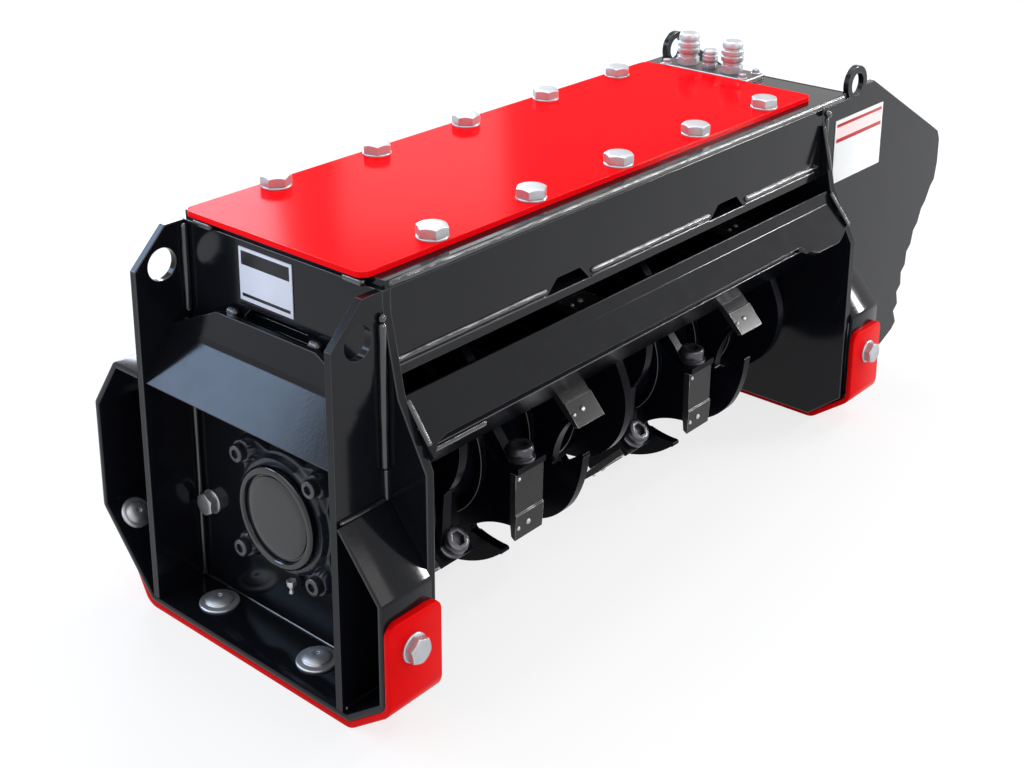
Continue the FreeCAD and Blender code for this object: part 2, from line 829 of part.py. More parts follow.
def rotor_rings():
    """Nine low rings round the drum, one beside the near end of each tooth."""
    body = new_body("rotor_rings")
    width = size("ring_width")
    middle = near_inner + size("station_first")
    start = middle - size("tooth_width") / 2 - size("ring_gap") - width
    outer = size("drum") + size("ring_height")
    circles = [((axis_y, axis_z), outer), ((axis_y, axis_z), size("drum"))]
    ring = pad_outline(body, "FirstRing", "YZ_Plane", start, width, [], circles)
    rings = body.newObject("PartDesign::LinearPattern", "RingPattern")
    rings.Originals = [ring]
    along = [item for item in body.Origin.OriginFeatures if item.Role == "X_Axis"]
    rings.Direction = (along[0], [""])
    bind(rings, "Length", size("station_pitch") * (STATIONS - 1))
    rings.Occurrences = STATIONS
    body.Tip = rings
    place(body)


def rotor_core():
    """Drum, end discs and the shaft through them."""
    axis = (axis_y, axis_z)
    start = near_inner + size("drum_gap")
    length = rotor_length()
    end = size("rotor_end")
    inner = size("drum") - size("drum_wall")
    ring_solid("rotor_drum", start + end, length - end * 2, axis, size("drum"), inner)
    body = new_body("rotor_end_disc_near")
    circles = [(axis, size("drum") + size("rotor_end_height")), (axis, size("shaft"))]
    pad_outline(body, "NearEnd", "YZ_Plane", start, end, [], circles)
    place(body)
    body = new_body("rotor_end_disc_far")
    pad_outline(body, "FarEnd", "YZ_Plane", start + length - end, end, [], circles)
    place(body)
    bearing_grip = size("flange") - 5
    shaft_start = near_face - bearing_grip
    shaft_length = far_face + bearing_grip - shaft_start
    ring_solid("rotor_shaft", shaft_start, shaft_length, axis, size("shaft"), None)


def check_and_write():
    """Recomputes, stops on any failed object or bad shape, and writes one file a sub-part."""
    doc.recompute()
    for item in doc.Objects:
        if "Invalid" in item.State or "Error" in item.State:
            raise RuntimeError("%s is %s" % (item.Label, item.State))
    for item in PARTS:
        if item.Shape.isNull() or not item.Shape.isValid() or not item.Shape.Solids:
            raise RuntimeError("%s has a bad shape" % item.Label)
    os.makedirs("parts", exist_ok=True)
    for item in PARTS:
        item.Shape.exportStep("parts/%s.step" % item.Label)


for side, start in (("front", -half_width), ("back", inner_half)):
    cheek("cheek_" + side, start)
    box_side("box_side_" + side, start)
    guard_side("guard_side_" + side, start)
end_plate("end_plate_near", near_face, [access_slot()])
end_plate("end_plate_far", far_inner, [])
deck_and_cover()
box_and_bar()
skid_and_shoe("near", as_term(0), as_term(0))
skid_and_shoe("far", far_face, far_face - size("shoe_lap"))
shoe_bolts()
bearing("near", near_face - size("flange"), near_face - size("flange") - size("cap_depth"), size("cap_depth"))
bearing("far", far_face, None, None)
drive_motor()
bearing_guard()
motor_guard_top()
ports()
rotor_core()
rotor_rings()
rotor_stations()
check_and_write()
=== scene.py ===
"""Looks of an excavator mulcher: finishes, fasteners, weld beads, folded plates and tooth details.

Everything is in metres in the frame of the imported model: the rotor lies along +X, the open side of
the housing faces -Y, the ground is z = 0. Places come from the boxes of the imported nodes.
"""
import json
import math

import bmesh
import bpy
import numpy as np
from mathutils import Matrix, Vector

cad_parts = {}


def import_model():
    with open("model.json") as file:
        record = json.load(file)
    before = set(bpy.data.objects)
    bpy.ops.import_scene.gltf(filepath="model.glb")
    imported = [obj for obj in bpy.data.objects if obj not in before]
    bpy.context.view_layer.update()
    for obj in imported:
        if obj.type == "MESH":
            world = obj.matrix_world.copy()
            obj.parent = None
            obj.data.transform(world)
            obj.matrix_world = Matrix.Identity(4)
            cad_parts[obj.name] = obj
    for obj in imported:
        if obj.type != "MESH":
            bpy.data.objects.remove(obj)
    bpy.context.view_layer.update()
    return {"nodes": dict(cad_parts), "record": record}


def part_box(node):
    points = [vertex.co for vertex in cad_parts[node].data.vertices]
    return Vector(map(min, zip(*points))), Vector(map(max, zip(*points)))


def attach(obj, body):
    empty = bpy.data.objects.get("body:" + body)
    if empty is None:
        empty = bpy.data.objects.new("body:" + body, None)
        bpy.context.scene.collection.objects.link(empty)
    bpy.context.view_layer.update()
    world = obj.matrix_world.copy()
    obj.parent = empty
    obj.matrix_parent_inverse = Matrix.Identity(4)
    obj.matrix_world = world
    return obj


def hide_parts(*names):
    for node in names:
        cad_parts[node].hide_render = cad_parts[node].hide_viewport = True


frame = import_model()
MM = 0.001


# ---------------------------------------------------------------- places on the machine

class Box:
    """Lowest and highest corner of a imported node, with short names for its sides."""

    def __init__(self, node):
        low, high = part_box(node)
        self.x0, self.y0, self.z0 = low
        self.x1, self.y1, self.z1 = high
        self.middle = (np.array(low) + np.array(high)) / 2


NEAR_PLATE = Box("end_plate_near")
FAR_PLATE = Box("end_plate_far")
SIDE_FRONT = Box("box_side_front")
SIDE_BACK = Box("box_side_back")
STRIP_NEAR = Box("skid_strip_near")
STRIP_FAR = Box("skid_strip_far")
SHOE_BOLTS = Box("shoe_bolts")
FLANGE_NEAR = Box("bearing_flange_near")
FLANGE_FAR = Box("bearing_flange_far")
MOTOR = Box("drive_motor")
PORTS = Box("port_plate")
COUPLINGS = Box("hydraulic_couplings")
DRUM = Box("rotor_drum")

AXIS_Y = float(DRUM.middle[1])
AXIS_Z = float(DRUM.middle[2])
MIDDLE_Y = float(SIDE_FRONT.y0 + SIDE_BACK.y1) / 2
MOUNTS = {mount["name"]: mount for mount in frame["record"]["mounts"]}
# Numbers of the rotor's tooth stations.
STATIONS = range(1, 10)


# ---------------------------------------------------------------- surfaces

def grid_faces(rows, columns, wrap_rows, wrap_columns):
    """Quads of a grid of points, joined round where a direction is wrapped."""
    i = np.arange(rows if wrap_rows else rows - 1)
    j = np.arange(columns if wrap_columns else columns - 1)
    i, j = np.meshgrid(i, j, indexing="ij")
    a = i * columns + j
    b = i * columns + (j + 1) % columns
    c = ((i + 1) % rows) * columns + (j + 1) % columns
    d = ((i + 1) % rows) * columns + j
    return np.stack([a, b, c, d], -1).reshape(-1, 4)


def patch(points, wrap_rows=False, wrap_columns=False):
    """A patch is a pair of vertices and quads from a grid of points."""
    points = np.asarray(points, float)
    rows, columns = points.shape[:2]
    return points.reshape(-1, 3), grid_faces(rows, columns, wrap_rows, wrap_columns)


def together(patches):
    """Several patches as one."""
    start = np.cumsum([0] + [len(vertices) for vertices, _ in patches[:-1]])
    vertices = np.concatenate([vertices for vertices, _ in patches])
    faces = np.concatenate([faces + first for (_, faces), first in zip(patches, start)])
    return vertices, faces


def capped(rings):
    """Rings joined each to the next, with the first and the last closed by flat caps."""
    caps = [np.stack([ring, np.broadcast_to(ring.mean(0), ring.shape)]) for ring in (rings[0], rings[-1])]
    return together([patch(rings, wrap_columns=True)] + [patch(cap, wrap_columns=True) for cap in caps])


def placed(name, data):
    """A new object in the scene, at the origin."""
    item = bpy.data.objects.new(name, data)
    bpy.context.scene.collection.objects.link(item)
    return item


def piece(name, shape, material, body, bevel=0.0, smooth=40):
    """A finished piece: its patches merged, faces outwards, smooth but for its sharp edges."""
    vertices, faces = shape
    mesh = bpy.data.meshes.new(name)
    mesh.from_pydata(vertices.tolist(), [], faces.tolist())
    work = bmesh.new()
    work.from_mesh(mesh)
    bmesh.ops.remove_doubles(work, verts=work.verts, dist=1e-6)
    bmesh.ops.dissolve_degenerate(work, edges=work.edges, dist=1e-7)
    bmesh.ops.recalc_face_normals(work, faces=work.faces)
    work.to_mesh(mesh)
    work.free()
    mesh.shade_smooth()
    mesh.set_sharp_from_angle(angle=math.radians(smooth))
    item = placed(name, mesh)
    mesh.materials.append(material)
    if bevel:
        soften(item, bevel)
    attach(item, body)
    return item


def soften(item, width):
    """Small rounds on the sharp edges, shaded as part of the flats beside them."""
    rounds = item.modifiers.new("edge rounds", "BEVEL")
    rounds.width = width
    rounds.segments = 2
    rounds.limit_method = "ANGLE"
    rounds.angle_limit = math.radians(32)
    rounds.harden_normals = True
    rounds.use_clamp_overlap = True


# ---------------------------------------------------------------- profiles and paths

def rounded_rectangle(width, height, radius, steps):
    """Outline of a rectangle about the origin: four quarter circles joined by straight sides."""
    quarter = np.linspace(0, math.pi / 2, steps + 1)
    quarters = []
    for number, (side_u, side_v) in enumerate(((1, 1), (-1, 1), (-1, -1), (1, -1))):
        angle = quarter + number * math.pi / 2
        u = side_u * (width / 2 - radius) + radius * np.cos(angle)
        v = side_v * (height / 2 - radius) + radius * np.sin(angle)
        quarters.append(np.stack([u, v], -1))
    return np.concatenate(quarters)


def folded_path(corners, radius, steps=6):
    """A path of straight runs whose corners are arcs of the given radius, tangent to both runs."""
    corners = np.asarray(corners, float)
    points = [corners[:1]]
    for before, corner, after in zip(corners, corners[1:], corners[2:]):
        into = (corner - before) / np.linalg.norm(corner - before)
        out = (after - corner) / np.linalg.norm(after - corner)
        turn = math.acos(float(np.clip(into @ out, -1, 1)))
        reach = radius * math.tan(turn / 2)
        centre = corner + (out - into) / np.linalg.norm(out - into) * radius / math.cos(turn / 2)
        start = corner - into * reach - centre
        share = np.linspace(0, 1, steps + 1)[:, None]
        end = corner + out * reach - centre
        arc = (start * np.sin((1 - share) * turn) + end * np.sin(share * turn)) / math.sin(turn)
        points.append(centre + arc)
    points.append(corners[-1:])
    return np.concatenate(points)


def run_length(path):
    """Length run along a path at each of its points."""
    return np.concatenate([[0], np.cumsum(np.linalg.norm(np.diff(path, axis=0), axis=1))])


def directions(path):
    """Unit vectors along a path at each of its points."""
    tangent = np.gradient(path, axis=0)
    return tangent / np.linalg.norm(tangent, axis=1)[:, None]


def carried(path, section, across, scale=None):
    """A closed section carried along a flat path.

    Each point is path + u * across + v * (across x tangent), with (u, v) the section's points and
    u shrunk by scale where one is given. The two ends are closed by flat caps.
    """
    path = np.asarray(path, float)
    across = np.asarray(across, float)
    rise = np.cross(across, directions(path))
    u, v = section[:, 0], section[:, 1]
    widths = np.ones(len(path)) if scale is None else scale
    aside = (widths[:, None] * u)[..., None] * across
    return capped(path[:, None] + aside + v[None, :, None] * rise[:, None])


def full_turn(steps):
    """Angles at even steps round a full turn."""
    return np.linspace(0, 2 * math.pi, steps, endpoint=False)


def ring_about(axis, angle, away=(0, 0, 1), instead=(1, 0, 0)):
    """Unit vectors round an axis: cos(angle) * side + sin(angle) * (axis x side).

    The side lies square to the axis and to the direction away, or instead where those two are close.
    """
    side = np.cross(axis, away if abs(np.dot(axis, away)) < 0.9 else instead)
    side /= np.linalg.norm(side)
    return np.cos(angle)[:, None] * side + np.sin(angle)[:, None] * np.cross(axis, side)


def lathe(profile, centre, axis, sides):
    """Profile pairs (radius, height) turned about an axis: centre + height * axis + radius * ring."""
    profile = np.asarray(profile, float)
    axis = np.asarray(axis, float)
    points = profile[:, None, 1, None] * axis + profile[:, None, 0, None] * ring_about(axis, full_turn(sides))
    return patch(np.asarray(centre) + points, wrap_columns=True)


def from_flat(angle):
    """Angle from the middle of the nearest flat of a hexagon."""
    return (angle + math.pi / 6) % (math.pi / 3) - math.pi / 6


def hex_head(across_flats, height, centre, axis, turn=0.0):
    """A hexagon head with its 30 degree crown.

    The radius is half the width over the cosine of the angle from the middle of a flat, and the
    height falls by tan 30 of the distance past the crown's circle.
    """
    axis = np.asarray(axis, float)
    angle = full_turn(48)
    hexagon = across_flats / 2 / np.cos(from_flat(angle))
    level = np.ones(len(angle))
    crown = across_flats / 2 * 0.96 * level
    rim = height - (hexagon - crown) * math.tan(math.radians(30))
    radii = np.stack([hexagon * 0.98, hexagon, hexagon, crown, crown * 0.55, crown * 0])
    heights = np.stack([0 * level, 0.4 * MM * level, rim, height * level, height * level, height * level])
    points = heights[..., None] * axis + radii[..., None] * ring_about(axis, angle + turn)
    return patch(np.asarray(centre) + points, wrap_columns=True)


# Length of one ripple of a weld bead.
RIPPLE = 2.6 * MM


def weld(path, radius, seed):
    """A weld bead: a tube along a path whose radius swells once a ripple and wanders slowly.

    The radius is the nominal one times 0.94 + 0.10 |sin(pi s / RIPPLE + 0.4 w)| + 0.06 w, with s the
    length run and w a sum of three slow waves in s. It falls to nothing at each end, as a round does.
    """
    path = np.asarray(path, float)
    run = run_length(path)
    s = np.linspace(0, run[-1], max(int(run[-1] / (RIPPLE * 0.34)), 8))
    line = np.stack([np.interp(s, run, path[:, k]) for k in range(3)], -1)
    wave = np.random.default_rng(seed).uniform(0, 2 * math.pi, 3)
    lengths, sizes = np.array([(0.021, 1), (0.0083, 0.7), (0.047, 0.5)]).T
    slow = (sizes * np.sin(s[:, None] / lengths + wave)).sum(1)
    size = radius * (0.94 + 0.10 * np.abs(np.sin(math.pi * s / RIPPLE + 0.4 * slow)) + 0.06 * slow)
    end = np.clip(np.minimum(s, run[-1] - s) / radius, 0, 1)
    size *= np.sqrt(end * (2 - end))
    tangent = directions(line)
    aside = np.cross(tangent, (0.31, 0.52, 0.79))
    aside /= np.linalg.norm(aside, axis=1)[:, None]
    up = np.cross(tangent, aside)
    angle = full_turn(8)
    ring = np.cos(angle)[None, :, None] * aside[:, None] + np.sin(angle)[None, :, None] * up[:, None]
    return patch(line[:, None] + size[:, None, None] * ring, wrap_columns=True)


# ---------------------------------------------------------------- finishes

def add(tree, kind, inputs=None, **settings):
    """A node with its settings; an input given as a socket is linked to it."""
    made = tree.nodes.new(kind)
    for name, value in settings.items():
        setattr(made, name, value)
    for name, value in (inputs or {}).items():
        if isinstance(value, bpy.types.NodeSocket):
            tree.links.new(value, made.inputs[name])
        else:
            made.inputs[name].default_value = value
    return made


def new_group(name, inputs, outputs):
    """An empty shader group, with what it is given and what it puts out; a tuple is a colour.

    A nought or BLACK is only a place for what every material gives.
    """
    tree = bpy.data.node_groups.new(name, "ShaderNodeTree")
    for label, value in inputs.items():
        kind = TINT if isinstance(value, tuple) else NUMBER
        tree.interface.new_socket(label, in_out="INPUT", socket_type=kind).default_value = value
    for label in outputs:
        kind = TINT if label == "Colour" else NUMBER
        tree.interface.new_socket(label, in_out="OUTPUT", socket_type=kind)
    return tree, tree.nodes.new("NodeGroupInput").outputs, tree.nodes.new("NodeGroupOutput").inputs


def spread(tree, value, low, high):
    """Maps a noise value that lies about 0.5 onto low to high, without steps."""
    made = add(tree, "ShaderNodeMapRange", {0: value, 1: 0.25, 2: 0.75, 3: low, 4: high})
    made.clamp = True
    return made.outputs[0]


def mixed(tree, factor, a, b):
    """One colour mixed into another."""
    return add(tree, "ShaderNodeMix", {0: factor, 6: a, 7: b}, data_type="RGBA").outputs[2]


def maths(tree, operation, a, b, clamp=False):
    """One sum on two values."""
    return add(tree, "ShaderNodeMath", {0: a, 1: b}, operation=operation, use_clamp=clamp).outputs[0]


def noise(tree, where, scale, detail, roughness=0.5):
    """Cloudy noise, which lies about 0.5."""
    given = {"Vector": where, "Scale": scale, "Detail": detail, "Roughness": roughness}
    return add(tree, "ShaderNodeTexNoise", given).outputs[0]


def own_place(tree):
    """The place on the piece itself."""
    return add(tree, "ShaderNodeTexCoord").outputs["Object"]


def feed(tree, sockets, values):
    """Links each value to the socket of its name."""
    for name, value in values.items():
        tree.links.new(value, sockets[name])


NUMBER = "NodeSocketFloat"
TINT = "NodeSocketColor"
BLACK = (0, 0, 0, 1)


def paint_film_group():
    """Sprayed paint: slow changes of tone, fine orange peel, and a scatter of dust."""
    tree, given, out = new_group(
        "paint film",
        {"Colour": BLACK, "Second colour": BLACK, "Dust colour": (0.2, 0.2, 0.2, 1), "Patches": 9.0,
         "Peel": 260.0, "Dust": 0, "Roughness": 0, "Roughness spread": 0.06},
        ("Colour", "Roughness", "Height"))
    where = own_place(tree)
    patches = noise(tree, where, given["Patches"], 3.0, 0.55)
    peel = noise(tree, where, given["Peel"], 1.0, 0.4)
    cloud = noise(tree, where, 38.0, 5.0, 0.65)
    specks = noise(tree, where, 620.0, 2.0, 0.6)
    tone = mixed(tree, spread(tree, patches, 0.0, 1.0), given["Colour"], given["Second colour"])
    dusty = maths(tree, "MULTIPLY", spread(tree, cloud, -0.3, 1.0), spread(tree, specks, -0.6, 1.0), True)
    dusty = maths(tree, "MULTIPLY", dusty, given["Dust"])
    swing = maths(tree, "MULTIPLY", spread(tree, cloud, -1.0, 1.0), given["Roughness spread"])
    feed(tree, out, {"Colour": mixed(tree, dusty, tone, given["Dust colour"]),
                     "Roughness": maths(tree, "ADD", given["Roughness"], swing), "Height": peel})
    return tree


def edge_tone_and_wear_group():
    """A rounded edge in its own colour: lighter than the paint on the charcoal, rotor and tooth pieces, as a
    painted highlight along the rounds, and a darker red on the cover. Real wear: bare metal shows where a
    patchy noise passes the amount.
    """
    tree, given, out = new_group(
        "edge tone and wear",
        {"Colour": BLACK, "Bare colour": BLACK, "Amount": 0, "Patches": 45.0, "Roughness": 0},
        ("Colour", "Roughness", "Metallic", "Height"))
    patches = noise(tree, own_place(tree), given["Patches"], 6.0, 0.7)
    start = maths(tree, "SUBTRACT", 0.72, given["Amount"])
    end = maths(tree, "ADD", start, 0.10)
    worn = add(tree, "ShaderNodeMapRange", {0: patches, 1: start, 2: end, 3: 0.0, 4: 1.0}).outputs[0]
    rough = add(tree, "ShaderNodeMapRange", {0: worn, 3: given["Roughness"], 4: 0.42}).outputs[0]
    feed(tree, out, {"Colour": mixed(tree, worn, given["Colour"], given["Bare colour"]), "Roughness": rough,
                     "Metallic": worn, "Height": patches})
    return tree


def bare_metal_group():
    """Plated or cut metal: a mottled tone, fine grain and slow stains."""
    tree, given, out = new_group(
        "bare metal",
        {"Colour": BLACK, "Second colour": BLACK, "Stain": BLACK, "Mottle": 90.0, "Stains": 0,
         "Roughness": 0},
        ("Colour", "Roughness", "Height"))
    where = own_place(tree)
    cells = add(tree, "ShaderNodeTexVoronoi", {"Vector": where, "Scale": given["Mottle"]},
                feature="SMOOTH_F1").outputs[0]
    cloud = noise(tree, where, 55.0, 6.0, 0.7)
    tone = mixed(tree, cells, given["Colour"], given["Second colour"])
    stained = maths(tree, "MULTIPLY", spread(tree, cloud, -0.4, 1.0), given["Stains"], True)
    rough = maths(tree, "ADD", given["Roughness"], spread(tree, cloud, -0.07, 0.12))
    feed(tree, out, {"Colour": mixed(tree, stained, tone, given["Stain"]), "Roughness": rough,
                     "Height": noise(tree, where, 900.0, 3.0)})
    return tree


PAINT_FILM = paint_film_group()
EDGE_TONE_AND_WEAR = edge_tone_and_wear_group()
BARE_METAL = bare_metal_group()


def shade(red, green, blue):
    """A colour as it is written on a paint card, 0 to 255, turned to light values."""
    values = np.array([red, green, blue]) / 255
    light = np.where(values <= 0.04045, values / 12.92, ((values + 0.055) / 1.055) ** 2.4)
    return (*[float(value) for value in light], 1.0)


def finish(name, group, values, bump, bump_distance, shader):
    """A material whose shader is fed by one group; plain values go on the shader's own sockets."""
    material = bpy.data.materials.new(name)
    material.use_nodes = True
    tree = material.node_tree
    surface = tree.nodes["Principled BSDF"]
    made = add(tree, "ShaderNodeGroup", node_tree=group)
    for socket, value in values.items():
        made.inputs[socket].default_value = value
    relief = add(tree, "ShaderNodeBump", {"Strength": bump, "Distance": bump_distance,
                                          "Height": made.outputs["Height"]})
    feed(tree, surface.inputs, {"Base Color": made.outputs["Colour"], "Roughness": made.outputs["Roughness"],
                                "Normal": relief.outputs[0]})
    if "Metallic" in made.outputs:
        feed(tree, surface.inputs, {"Metallic": made.outputs["Metallic"]})
    for socket, value in shader.items():
        surface.inputs[socket].default_value = value
    material.diffuse_color = tuple(values["Colour"])
    return material


def paint(name, colour, second, rough, specular, coat, dust, peel=0.05, coat_rough=0.04):
    """Sprayed gloss paint; the coat is a clear lacquer where there is one."""
    values = {"Colour": colour, "Second colour": second, "Dust colour": shade(120, 120, 120),
              "Dust": dust, "Roughness": rough, "Roughness spread": 0.03}
    shader = {"Specular IOR Level": specular, "Coat Weight": coat, "Coat Roughness": coat_rough}
    return finish(name, PAINT_FILM, values, peel, 0.4 * MM, shader)


def edge(name, colour, bare, amount, rough, specular=0.5):
    """The rounded edges of a painted plate. Where the colour is lighter than the plate's paint, it is a
    painted highlight along the rounds.
    """
    values = {"Colour": colour, "Bare colour": bare, "Amount": amount, "Roughness": rough}
    shader = {"Specular IOR Level": specular, "Coat Weight": 0.5, "Coat Roughness": 0.10}
    return finish(name, EDGE_TONE_AND_WEAR, values, 0.12, 0.3 * MM, shader)


def metal(name, colour, second, stain, stains, rough):
    """Plated or cut metal."""
    values = {"Colour": colour, "Second colour": second, "Stain": stain, "Stains": stains, "Roughness": rough}
    return finish(name, BARE_METAL, values, 0.12, 0.2 * MM, {"Metallic": 0.85})


CHARCOAL = paint("charcoal_gloss", shade(12, 13, 18), shade(16, 17, 22), 0.13, 0.21, 0.0, 0.01)
# Charcoal plate edges: the rounds are painted lighter than the plate paint, a painted highlight, with a trace
# of real wear.
CHARCOAL_EDGE_HIGHLIGHT = edge("charcoal_edge_painted_highlight", shade(34, 35, 39), shade(150, 150, 152), 0.02, 0.20, 0.3)
WELD_PAINT = paint("weld_bead_gloss", shade(18, 19, 23), shade(26, 27, 31), 0.12, 0.6, 0.8, 0.0, 0.06)
RED = paint("cover_red_gloss", shade(240, 4, 14), shade(244, 8, 18), 0.30, 0.0, 0.09, 0.0, 0.01, 0.13)
RED_EDGE = edge("cover_red_edge", shade(150, 6, 14), shade(150, 60, 60), 0.0, 0.3, 0.1)
SHOE_RED = paint("shoe_red_satin", shade(206, 2, 4), shade(214, 4, 8), 0.30, 0.04, 0.0, 0.0, 0.05)
ROTOR = paint("rotor_gloss", shade(6, 7, 13), shade(10, 11, 18), 0.22, 0.05, 0.0, 0.0, 0.08)
# Rotor disc, drum and knife rims: lighter than the near-black rotor paint, a painted highlight along the
# rims, with some real wear.
ROTOR_EDGE_HIGHLIGHT = edge("rotor_edge_painted_highlight", shade(46, 47, 52), shade(165, 165, 168), 0.10, 0.26)
TOOTH = paint("tooth_dark_steel", shade(38, 37, 38), shade(30, 29, 31), 0.26, 0.20, 0.0, 0.06, 0.12)
# Tooth and shaft edges: lighter than the tooth steel, partly real bright wear and partly a painted highlight
# along the rounds.
TOOTH_EDGE_WEAR_AND_HIGHLIGHT = edge("tooth_edge_wear_and_painted_highlight", shade(112, 112, 114), shade(190, 190, 192), 0.24, 0.28)
CAST = paint("cast_black", shade(24, 28, 36), shade(32, 37, 46), 0.26, 0.4, 0.0, 0.04, 0.22)
CAP_PAINT = paint("cap_gloss_black", shade(8, 10, 15), shade(12, 14, 20), 0.12, 0.55, 0.0, 0.0, 0.0)
ZINC = metal("zinc_plate", shade(176, 178, 183), shade(200, 203, 208), shade(150, 142, 130), 0.25, 0.38)
PORT_STEEL = metal("port_steel", shade(94, 82, 82), shade(92, 80, 78), shade(64, 52, 48), 0.4, 0.34)
BOLT_BLACK = metal("black_oxide", shade(92, 92, 97), shade(72, 73, 79), shade(44, 42, 41), 0.3, 0.30)


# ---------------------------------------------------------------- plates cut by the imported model

def finished_plate(node, material, edge_material, bevel, body="frame", fold=0.0):
    """A merged copy of a packed plate with rounded edges, standing for it.

    Where fold is given, the fold lines along Y are rounded by it first: edges along Y between
    two faces that turn by 15 to 80 degrees.
    """
    mesh = bpy.data.meshes.new(node + "_plate")
    work = bmesh.new()
    work.from_mesh(frame["nodes"][node].data)
    bmesh.ops.remove_doubles(work, verts=work.verts, dist=3e-6)
    bmesh.ops.dissolve_limit(work, angle_limit=math.radians(0.6), verts=work.verts, edges=work.edges)
    bmesh.ops.recalc_face_normals(work, faces=work.faces)
    if fold:
        folds = [line for line in work.edges if len(line.link_faces) == 2
                 and abs((line.verts[0].co - line.verts[1].co).normalized().y) > 0.99
                 and math.radians(15) < line.calc_face_angle() < math.radians(80)]
        bmesh.ops.bevel(work, geom=folds, offset=fold, segments=5, profile=0.5, affect="EDGES",
                        clamp_overlap=True)
    for face in work.faces:
        face.smooth = True
        face.material_index = 0
    work.to_mesh(mesh)
    work.free()
    while "custom_normal" in mesh.attributes:
        mesh.attributes.remove(mesh.attributes["custom_normal"])
    item = placed(node + "_plate", mesh)
    mesh.materials.append(material)
    mesh.materials.append(edge_material)
    soften(item, bevel)
    # The rounds take the second material. Where its colour is lighter than the plate's, it is a painted
    # highlight along them.
    item.modifiers[-1].material = 1
    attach(item, body)
    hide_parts(node)
    return item


for plate_name in ("cheek_front", "cheek_back", "box_side_front", "box_side_back", "guard_side_front",
                   "guard_side_back", "end_plate_near", "end_plate_far", "deck_plate", "box_floor"):
    finished_plate(plate_name, CHARCOAL, CHARCOAL_EDGE_HIGHLIGHT, 1.3 * MM)
finished_plate("bearing_guard", CHARCOAL, CHARCOAL_EDGE_HIGHLIGHT, 1.3 * MM, fold=5 * MM)
finished_plate("cover_plate", RED, RED_EDGE, 1.0 * MM)
finished_plate("port_plate", PORT_STEEL, ZINC, 1.5 * MM)
finished_plate("counter_knife", ROTOR, ROTOR_EDGE_HIGHLIGHT, 0.8 * MM)


# ---------------------------------------------------------------- folded plates

def mitred(corners, distance):
    """Corners of a flat path moved to the left of the way it runs, with mitred joints."""
    corners = np.asarray(corners, float)
    run = np.diff(corners, axis=0)
    run /= np.linalg.norm(run, axis=1)[:, None]
    left = np.stack([-run[:, 1], run[:, 0]], -1)
    before = np.concatenate([left[:1], left])
    after = np.concatenate([left, left[-1:]])
    middle = before + after
    middle /= (middle * before).sum(1)[:, None]
    return corners + distance * middle


def across_x(points, x):
    """Pairs (y, z) in mm from the housing's middle and the ground, as points at one x."""
    points = np.asarray(points, float) * MM
    return np.stack([np.full(len(points), x), points[:, 0] + MIDDLE_Y, points[:, 1]], -1)


# Thickness of the folded plates and the wear shoes, in mm.
FOLDED = 8


def bent(name, line, rim, material, scale=None):
    """A plate bent round lines along X: a flat section carried along its middle line."""
    box = Box(name)
    points = across_x(line, (box.x0 + box.x1) / 2)
    section = rounded_rectangle(box.x1 - box.x0, FOLDED * MM, rim, 2)
    item = piece(name + "_folded", carried(points, section, (1, 0, 0), scale), material, "frame")
    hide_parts(name)


def folded_plate(name, corners, radius):
    """A plate whose outer face runs through the corners, each fold rounded by the radius."""
    line = folded_path(mitred(corners, FOLDED / 2), radius)
    bent(name, line, 1.2 * MM, CHARCOAL)


# Outer faces seen along X, in mm: pairs (y from the housing's middle, z from the ground).
STRIP_LINE = [(-175, 250), (-236, 179), (-236, 51), (-178, 8), (173, 8), (262, 108), (262, 252),
              (216, 320), (169, 320)]
HOOD_LINE = [(250, 150), (250, 306), (188, 389), (140, 389)]
BAR_LINE = [(-186, 374), (-193, 358), (-222, 326)]

folded_plate("skid_strip_near", STRIP_LINE, 6)
folded_plate("skid_strip_far", STRIP_LINE, 6)


# Radius of a wear shoe's rounded corners, in mm.
SHOE_CORNER = 14


def wear_shoe(name):
    """The shoe outside a skid strip, its four corners rounded by SHOE_CORNER mm.

    It wraps the strip's front, its foot and nine tenths of its back slope, and its width falls by
    twice the rise of a quarter circle towards each end.
    """
    box = Box(name)
    foot = STRIP_LINE[2:5]
    slope_end = np.array(foot[-1]) + 0.9 * np.subtract(STRIP_LINE[5], foot[-1])
    line = folded_path(mitred([(foot[0][0], box.z1 / MM), *foot, slope_end], -FOLDED / 2), 20)
    first = np.linspace(0, 1, 13)[:, None] ** 2 * 0.5
    line = np.concatenate([line[0] + (line[1] - line[0]) * first, line[1:]])
    run = run_length(line)
    short = np.clip(SHOE_CORNER - np.minimum(run, run[-1] - run), 0, SHOE_CORNER)
    width = (box.x1 - box.x0) / MM
    scale = 1 - 2 * (SHOE_CORNER - np.sqrt(SHOE_CORNER ** 2 - short ** 2)) / width
    bent(name, line, 1.5 * MM, SHOE_RED, scale)


wear_shoe("wear_shoe_near")
wear_shoe("wear_shoe_far")

# The bar's lower edge: place along its length in mm, and share of the full lower face there.
# It lies a little up the face, and hangs lower in a curved gusset at each end plate.
BAR_EDGE = [(0, 1.30), (7, 1.17), (19, 0.96), (34, 0.89), (762, 0.89), (776, 1.14), (794, 1.32), (850, 1.34),
            (872, 1.16), (890, 0.96)]


